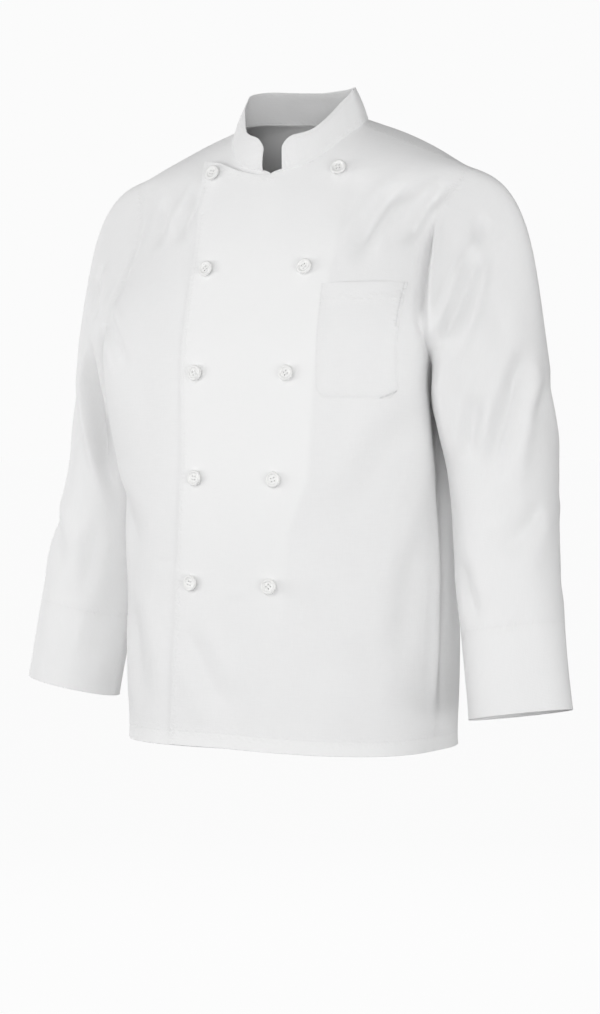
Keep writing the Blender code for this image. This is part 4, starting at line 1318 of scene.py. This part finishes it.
# ---------------------------------------------------------------- pocket
POCKET_SHAPE = (30, 34)
POCKET_WALL = 0.0011
POCKET_STAND = 0.0007  # how far it stands off the front all over
POCKET_PUFF = 0.0022
POCKET_STITCH = 0.0022
POCKET_HEM = 0.020
PEN_LINE = 0.0045  # the pen slot's opening, in from the pocket's outer side
PEN_LENGTH = 0.060


def surface_at(tree, x, z):
    """The outer front's surface and normal at (x, z)."""
    place, normal, _, _ = tree.ray_cast(Vector((x, -0.5, z)), Vector((0, 1, 0)))
    normal = np.array(normal)
    if normal[1] > 0:
        normal = -normal
    return np.array(place), normal


def pocket_grid(tree):
    """Points on the outer front under the pocket, and the front's normals there, softened."""
    cells_x, cells_z = POCKET_SHAPE
    grid = np.zeros((cells_z + 1, cells_x + 1, 3))
    facing = np.zeros_like(grid)
    low, high = np.array(POCKET_BOTTOM), np.array(POCKET_TOP)
    for i in range(cells_z + 1):
        up = i / cells_z
        height, inner, outer = low + (high - low) * up
        cut = POCKET_MITRE * max(0.0, 1 - up * (high[0] - low[0]) / POCKET_MITRE)
        for k in range(cells_x + 1):
            share = k / cells_x
            x = inner + cut + (outer - inner - 2 * cut) * share
            grid[i, k], facing[i, k] = surface_at(tree, x, height)
    for _ in range(3):
        total = facing[1:-1, 1:-1] * 2
        for beside in (facing[:-2, 1:-1], facing[2:, 1:-1], facing[1:-1, :-2], facing[1:-1, 2:]):
            total = total + beside
        facing[1:-1, 1:-1] = total / 6
    return grid, unit(facing)


def make_pocket(tree, material, thread_material):
    grid, facing = pocket_grid(tree)
    points = grid.reshape(-1, 3)
    sewn = distance_to([grid[:, 0], grid[:, -1], grid[0]], points)
    opening = distance_to([grid[-1]], points)
    puff = POCKET_PUFF * smooth((sewn - 0.001) / 0.030)
    top = smooth(1 - opening / 0.03)
    stand = POCKET_STAND + puff * (0.35 + 0.65 * top)
    grid = grid + facing * stand.reshape(grid.shape[:2])[..., None]
    normal_grid = unit(np.cross(np.gradient(grid, axis=1), np.gradient(grid, axis=0)))
    points, normals = grid.reshape(-1, 3), normal_grid.reshape(-1, 3)
    ids = np.arange(len(points)).reshape(grid.shape[:2])
    across, up = measure(grid)
    pen, pen_facing = inset_line(grid, normal_grid, PEN_LINE, "last")
    kept = run_along(pen[::-1])[::-1] < PEN_LENGTH
    pen, pen_facing = pen[kept], pen_facing[kept]
    # a short mark across the pocket's lower outer corner, drawn like the pen slot's opening as a groove with
    # painted shadow
    corner_mark = np.array([grid[0, -5], grid[2, -1]])
    fields = {
        "pen": distance_to([pen, corner_mark], points),
        "edge": sewn,
        "hem": opening,
        "double": smooth(1 - opening / POCKET_HEM + 0.5) * CUFF_DOUBLE,
    }
    piece = shell("pocket_cloth", [(ids, False, across, up)], points, normals, POCKET_WALL, material, fields)
    lines = [inset_line(grid, normal_grid, POCKET_STITCH, edge) for edge in ("first", "last", "low")]
    lines += [inset_line(grid, normal_grid, POCKET_HEM, "high"), (pen, pen_facing)]
    return piece, stitch_mesh("pocket_stitches", lines, thread_material)


# ---------------------------------------------------------------- buttons
BUTTON_RADIUS = 0.0095
BUTTON_SIDES = 48
BUTTON_STAND = 0.0016  # the thread shank
BUTTON_SHARP = 50  # degrees, from which an edge isn't shaded round
HOLE_RADIUS = 0.0009
HOLE_AWAY = 0.0019
HOLE_SIDES = 14
STRAND_OFFSETS = (-0.00030, 0.0, 0.00030)
STRAND_RADIUS = 0.00019
STRAND_RISE = 0.00042  # above the button's well
STRAND_SINK = 0.0014  # at its ends, into the holes
STRAND_FLAT = 0.62  # share of a strand that doesn't sink
STRAND_REACH = 1.12
SHANK_RADIUS = 0.0018
# radius share and height of the button's outer form, from the well round the rim to the underside
BUTTON_FORM = (
    (0.50, 0.0022),
    (0.57, 0.0023),
    (0.63, 0.0028),
    (0.69, 0.0033),
    (0.76, 0.0036),
    (0.84, 0.0036),
    (0.91, 0.0033),
    (0.965, 0.0027),
    (1.00, 0.0019),
    (0.985, 0.0012),
    (0.93, 0.0006),
    (0.80, 0.0002),
    (0.60, 0.0000),
)
WELL = BUTTON_FORM[0][1]
# how far each button is turned, in radians: every value follows from the one before
TURN_BEFORE = 0.3
TURN_FACTOR = 1.7
TURN_STEP = 0.45
TURN_RANGE = 1.5


def finished(shape, name, material, sharp=None):
    """The piece of a finished bmesh."""
    mesh = bpy.data.meshes.new(name)
    shape.to_mesh(mesh)
    shape.free()
    mesh.shade_smooth()
    if sharp:
        mesh.set_sharp_from_angle(angle=math.radians(sharp))
    return collection_add(name, mesh, material)


def ring_of(shape, frame_at, radius, height, sides, centre=(0.0, 0.0)):
    out = []
    for k in range(sides):
        angle = 2 * math.pi * k / sides
        x = centre[0] + radius * math.cos(angle)
        y = centre[1] + radius * math.sin(angle)
        out.append(shape.verts.new(frame_at(x, y, height)))
    return out


def fill_with_holes(shape, outline, holes):
    edges = []
    for ring in [outline] + holes:
        for a, b in zip(ring, ring[1:] + ring[:1]):
            edges.append(shape.edges.get((a, b)) or shape.edges.new((a, b)))
    bmesh.ops.triangle_fill(shape, use_beauty=True, edges=edges)


def moulded(frame_at, name, material):
    """The button itself, a turned form with four holes."""
    shape = bmesh.new()
    rings = [ring_of(shape, frame_at, BUTTON_RADIUS * r, h, BUTTON_SIDES) for r, h in BUTTON_FORM]
    for a, b in zip(rings, rings[1:]):
        for k, j in pairs_round(BUTTON_SIDES):
            shape.faces.new([a[k], b[k], b[j], a[j]])
    spots = [(HOLE_AWAY * x, HOLE_AWAY * y) for x, y in ((1, 1), (-1, 1), (-1, -1), (1, -1))]
    top, bottom = [
        [ring_of(shape, frame_at, HOLE_RADIUS, height, HOLE_SIDES, spot) for spot in spots]
        for height in (WELL, 0.0)
    ]
    for a, b in zip(top, bottom):
        for k, j in pairs_round(HOLE_SIDES):
            shape.faces.new([a[j], b[j], b[k], a[k]])
    fill_with_holes(shape, rings[0], top)
    fill_with_holes(shape, rings[-1], bottom)
    bmesh.ops.recalc_face_normals(shape, faces=shape.faces)
    return finished(shape, name + "_moulded", material, BUTTON_SHARP)


def tube(shape, path, radius, sides):
    """A round thread along a path, closed at both ends."""
    along = unit(np.gradient(path, axis=0))
    guide = np.array([0.0, 0.0, 1.0]) if abs(along[0][2]) < 0.9 else np.array([1.0, 0.0, 0.0])
    rings = []
    for p, a in zip(path, along):
        side = unit(np.cross(a, guide))
        up = np.cross(side, a)
        ring = []
        for w in np.linspace(0, 2 * math.pi, sides, endpoint=False):
            ring.append(shape.verts.new(p + (side * math.cos(w) + up * math.sin(w)) * radius))
        rings.append(ring)
    for a, b in zip(rings, rings[1:]):
        for k, j in pairs_round(sides):
            shape.faces.new([a[k], a[j], b[j], b[k]])
    shape.faces.new(rings[0][::-1])
    shape.faces.new(rings[-1])


def sewn_on(frame_at, name, material):
    """The thread: two bars of three strands over the well, and the shank below the button."""
    shape = bmesh.new()
    for y in (-HOLE_AWAY, HOLE_AWAY):
        for offset in STRAND_OFFSETS:
            path = []
            for t in np.linspace(-1, 1, 9):
                sink = STRAND_SINK * max(0.0, abs(t) - STRAND_FLAT) / (1 - STRAND_FLAT)
                x = t * HOLE_AWAY * STRAND_REACH
                path.append(np.array(frame_at(x, y + offset, WELL + STRAND_RISE - sink)))
            tube(shape, np.array(path), STRAND_RADIUS, 6)
    shank = [np.array(frame_at(0, 0, h)) for h in np.linspace(-BUTTON_STAND - 0.0002, 0.0004, 6)]
    tube(shape, np.array(shank), SHANK_RADIUS, 12)
    return finished(shape, name + "_thread", material)


def make_button(name, place, normal, turn, material, thread_material):
    across = unit(np.cross(np.array([0.0, 0.0, 1.0]), normal))
    up = np.cross(normal, across)
    c, s = math.cos(turn), math.sin(turn)
    across, up = across * c + up * s, up * c - across * s
    seat = place + normal * BUTTON_STAND
    frame_at = lambda x, y, h: Vector(seat + across * x + up * y + normal * h)
    return moulded(frame_at, name, material), sewn_on(frame_at, name, thread_material)


# ---------------------------------------------------------------- stage
CAMERA_AZIMUTH = 33  # degrees, 0 is in front, 90 on the wearer's left
CAMERA_AWAY = 3.65
CAMERA_HEIGHT = -0.305
CAMERA_LENS = 107.99
AIM_ASIDE = 0.0024  # the point looked at, to the picture's right of the origin
AIM_HEIGHT = -0.4574
FLOOR_HEIGHT = -1.45
FLOOR_RADIUS = 40.0
BACKGROUND = 0.965
FLOOR_GLOW = BACKGROUND - 0.012
# the surroundings' brightness by height, from -1 straight down to 1 straight up
STUDIO_LEVELS = ((-1.0, 0.08), (-0.6, 0.20), (-0.3, 0.37), (0.1, 0.50), (0.4, 0.50), (0.7, 0.30), (1.0, 0.22))
# name, azimuth, distance, height, size, power
LAMPS = (
    ("front_lamp", 30, 3.6, -0.4, 1.2, 30),
    ("high_lamp", -12, 3.0, 1.5, 1.2, 17),
    ("fill_lamp_right", -30, 3.6, -0.4, 1.4, 11),
    ("side_lamp_right", -60, 3.6, -0.4, 1.4, 33),
    ("fill_lamp_left", 60, 3.6, -0.8, 1.4, 25),
    ("side_lamp_left", 96, 3.6, -0.9, 1.2, 10),
    ("back_lamp_right", 205, 3.4, 0.5, 1.0, 50),
    ("back_fill", 246, 3.6, -0.2, 1.4, 20),
)
LAMPS_AIM = -0.4  # the height that all lamps shine at


def stand_and_aim(name, data, azimuth, away, height, target):
    """Puts a camera or a lamp in the scene, turned to its target."""
    thing = bpy.data.objects.new(name, data)
    turn = math.radians(azimuth)
    thing.location = (away * math.sin(turn), -away * math.cos(turn), height)
    thing.rotation_euler = (target - thing.location).to_track_quat("-Z", "Y").to_euler()
    bpy.context.scene.collection.objects.link(thing)
    return thing


def make_camera():
    data = bpy.data.cameras.new("camera")
    data.sensor_fit = "AUTO"
    data.sensor_width = 36.0
    data.lens = CAMERA_LENS
    data.clip_end = 100.0
    turn = math.radians(CAMERA_AZIMUTH)
    target = Vector((AIM_ASIDE * math.cos(turn), AIM_ASIDE * math.sin(turn), AIM_HEIGHT))
    camera = stand_and_aim("camera", data, CAMERA_AZIMUTH, CAMERA_AWAY, CAMERA_HEIGHT, target)
    bpy.context.scene.camera = camera


def make_floor():
    shape = bmesh.new()
    bmesh.ops.create_circle(shape, cap_ends=True, segments=96, radius=FLOOR_RADIUS)
    mesh = bpy.data.meshes.new("floor")
    shape.to_mesh(mesh)
    shape.free()
    g = Graph("floor_pale")
    g.shader.inputs["Base Color"].default_value = (0.02, 0.02, 0.02, 1)
    g.shader.inputs["Roughness"].default_value = 1.0
    g.shader.inputs["Specular IOR Level"].default_value = 0.0
    g.shader.inputs["Emission Color"].default_value = (1, 1, 1, 1)
    g.shader.inputs["Emission Strength"].default_value = FLOOR_GLOW
    floor = collection_add("floor", mesh, g.material)
    floor.location = (0, 0, FLOOR_HEIGHT)
    floor.visible_diffuse = False
    floor.visible_glossy = False
    floor.visible_shadow = False


def make_world():
    """A white cyclorama to look at, and soft light that is strongest level with the jacket."""
    world = bpy.data.worlds.new("studio")
    bpy.context.scene.world = world
    world.use_nodes = True
    tree = world.node_tree
    place = tree.nodes.new("ShaderNodeTexCoord")
    parts = tree.nodes.new("ShaderNodeSeparateXYZ")
    level = tree.nodes.new("ShaderNodeMapRange")
    level.inputs["From Min"].default_value = -1.0
    level.inputs["From Max"].default_value = 1.0
    ramp = tree.nodes.new("ShaderNodeValToRGB")
    for _ in STUDIO_LEVELS[2:]:
        ramp.color_ramp.elements.new(0.5)
    for element, (height, light) in zip(ramp.color_ramp.elements, STUDIO_LEVELS):
        element.position = (height + 1) / 2
        element.color = (light, light, light, 1)
    seen = tree.nodes.new("ShaderNodeLightPath")
    mix = tree.nodes.new("ShaderNodeMix")
    mix.data_type = "RGBA"
    mix.inputs["B"].default_value = (BACKGROUND, BACKGROUND, BACKGROUND, 1)
    tree.links.new(place.outputs["Generated"], parts.inputs[0])
    tree.links.new(parts.outputs[2], level.inputs["Value"])
    tree.links.new(level.outputs[0], ramp.inputs[0])
    tree.links.new(ramp.outputs[0], mix.inputs["A"])
    tree.links.new(seen.outputs["Is Camera Ray"], mix.inputs["Factor"])
    tree.links.new(mix.outputs["Result"], tree.nodes["Background"].inputs["Color"])


def make_lamps():
    for name, azimuth, away, height, size, watts in LAMPS:
        data = bpy.data.lights.new(name, "AREA")
        data.shape = "DISK"
        data.size = size
        data.energy = watts
        stand_and_aim(name, data, azimuth, away, height, Vector((0, 0, LAMPS_AIM)))


def make_stage():
    bpy.context.scene.view_settings.view_transform = "Standard"
    make_camera()
    make_floor()
    make_world()
    make_lamps()


# ---------------------------------------------------------------- everything together
# sewn lines of each cotton: field, distance from it, groove depth, share of painted shade in the groove
BODY_SEWN = (
    ("seam", 0.0, 0.00010, 0.03),
    ("hem", HEM_TURN, 0.00014, 0.05),
    ("edge", EDGE_STITCH, 0.00006, 0.015),
)
SLEEVE_SEWN = (("seam", 0.0, 0.00010, 0.03), ("hem", CUFF_TURN, 0.00006, 0.02))
COLLAR_SEWN = (("seam", 0.0, 0.00016, 0.04), ("edge", COLLAR_STITCH, 0.00010, 0.04))
POCKET_SEWN = (
    ("edge", POCKET_STITCH, 0.00010, 0.05),
    ("hem", POCKET_HEM, 0.00006, 0.02),
    # the pen slot's opening and the mark at the pocket's corner: a deep groove darkened strongly as painted
    # shadow
    ("pen", 0.0, 0.00040, 0.55),
)


def main():
    make_stage()
    body_material = cotton("cotton_body", BODY_SEWN)
    sleeve_material = cotton("cotton_sleeve", SLEEVE_SEWN)
    collar_material = cotton("cotton_collar", COLLAR_SEWN)
    pocket_material = cotton("cotton_pocket", POCKET_SEWN)
    thread_material = thread("thread_white")
    plastic = button_plastic("button_white")

    cloth = shape_cloth(weld())
    made, threads = make_cloth_pieces(cloth, body_material, sleeve_material, thread_material)
    made["collar"], threads["collar"] = make_collar(cloth, collar_material, thread_material)
    tree = host_tree(cloth, cloth.points, ("front_left",))
    made["pocket"], threads["pocket"] = make_pocket(tree, pocket_material, thread_material)

    for node, piece in made.items():
        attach(piece, "root")
        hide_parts(node)
    for piece in threads.values():
        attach(piece, "root")
    turn = TURN_BEFORE
    for number, (height, away) in enumerate(BUTTON_ROWS, start=1):
        for side, x in (("left", away), ("right", -away)):
            place, normal = surface_at(tree, x, height)
            node = f"button_{number}_{side}"
            turn = (turn * TURN_FACTOR + TURN_STEP) % TURN_RANGE
            angle = turn - TURN_RANGE / 2
            button, strands = make_button(node, place, normal, angle, plastic, thread_material)
            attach(button, "root")
            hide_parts(node)
            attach(strands, "root")


main()
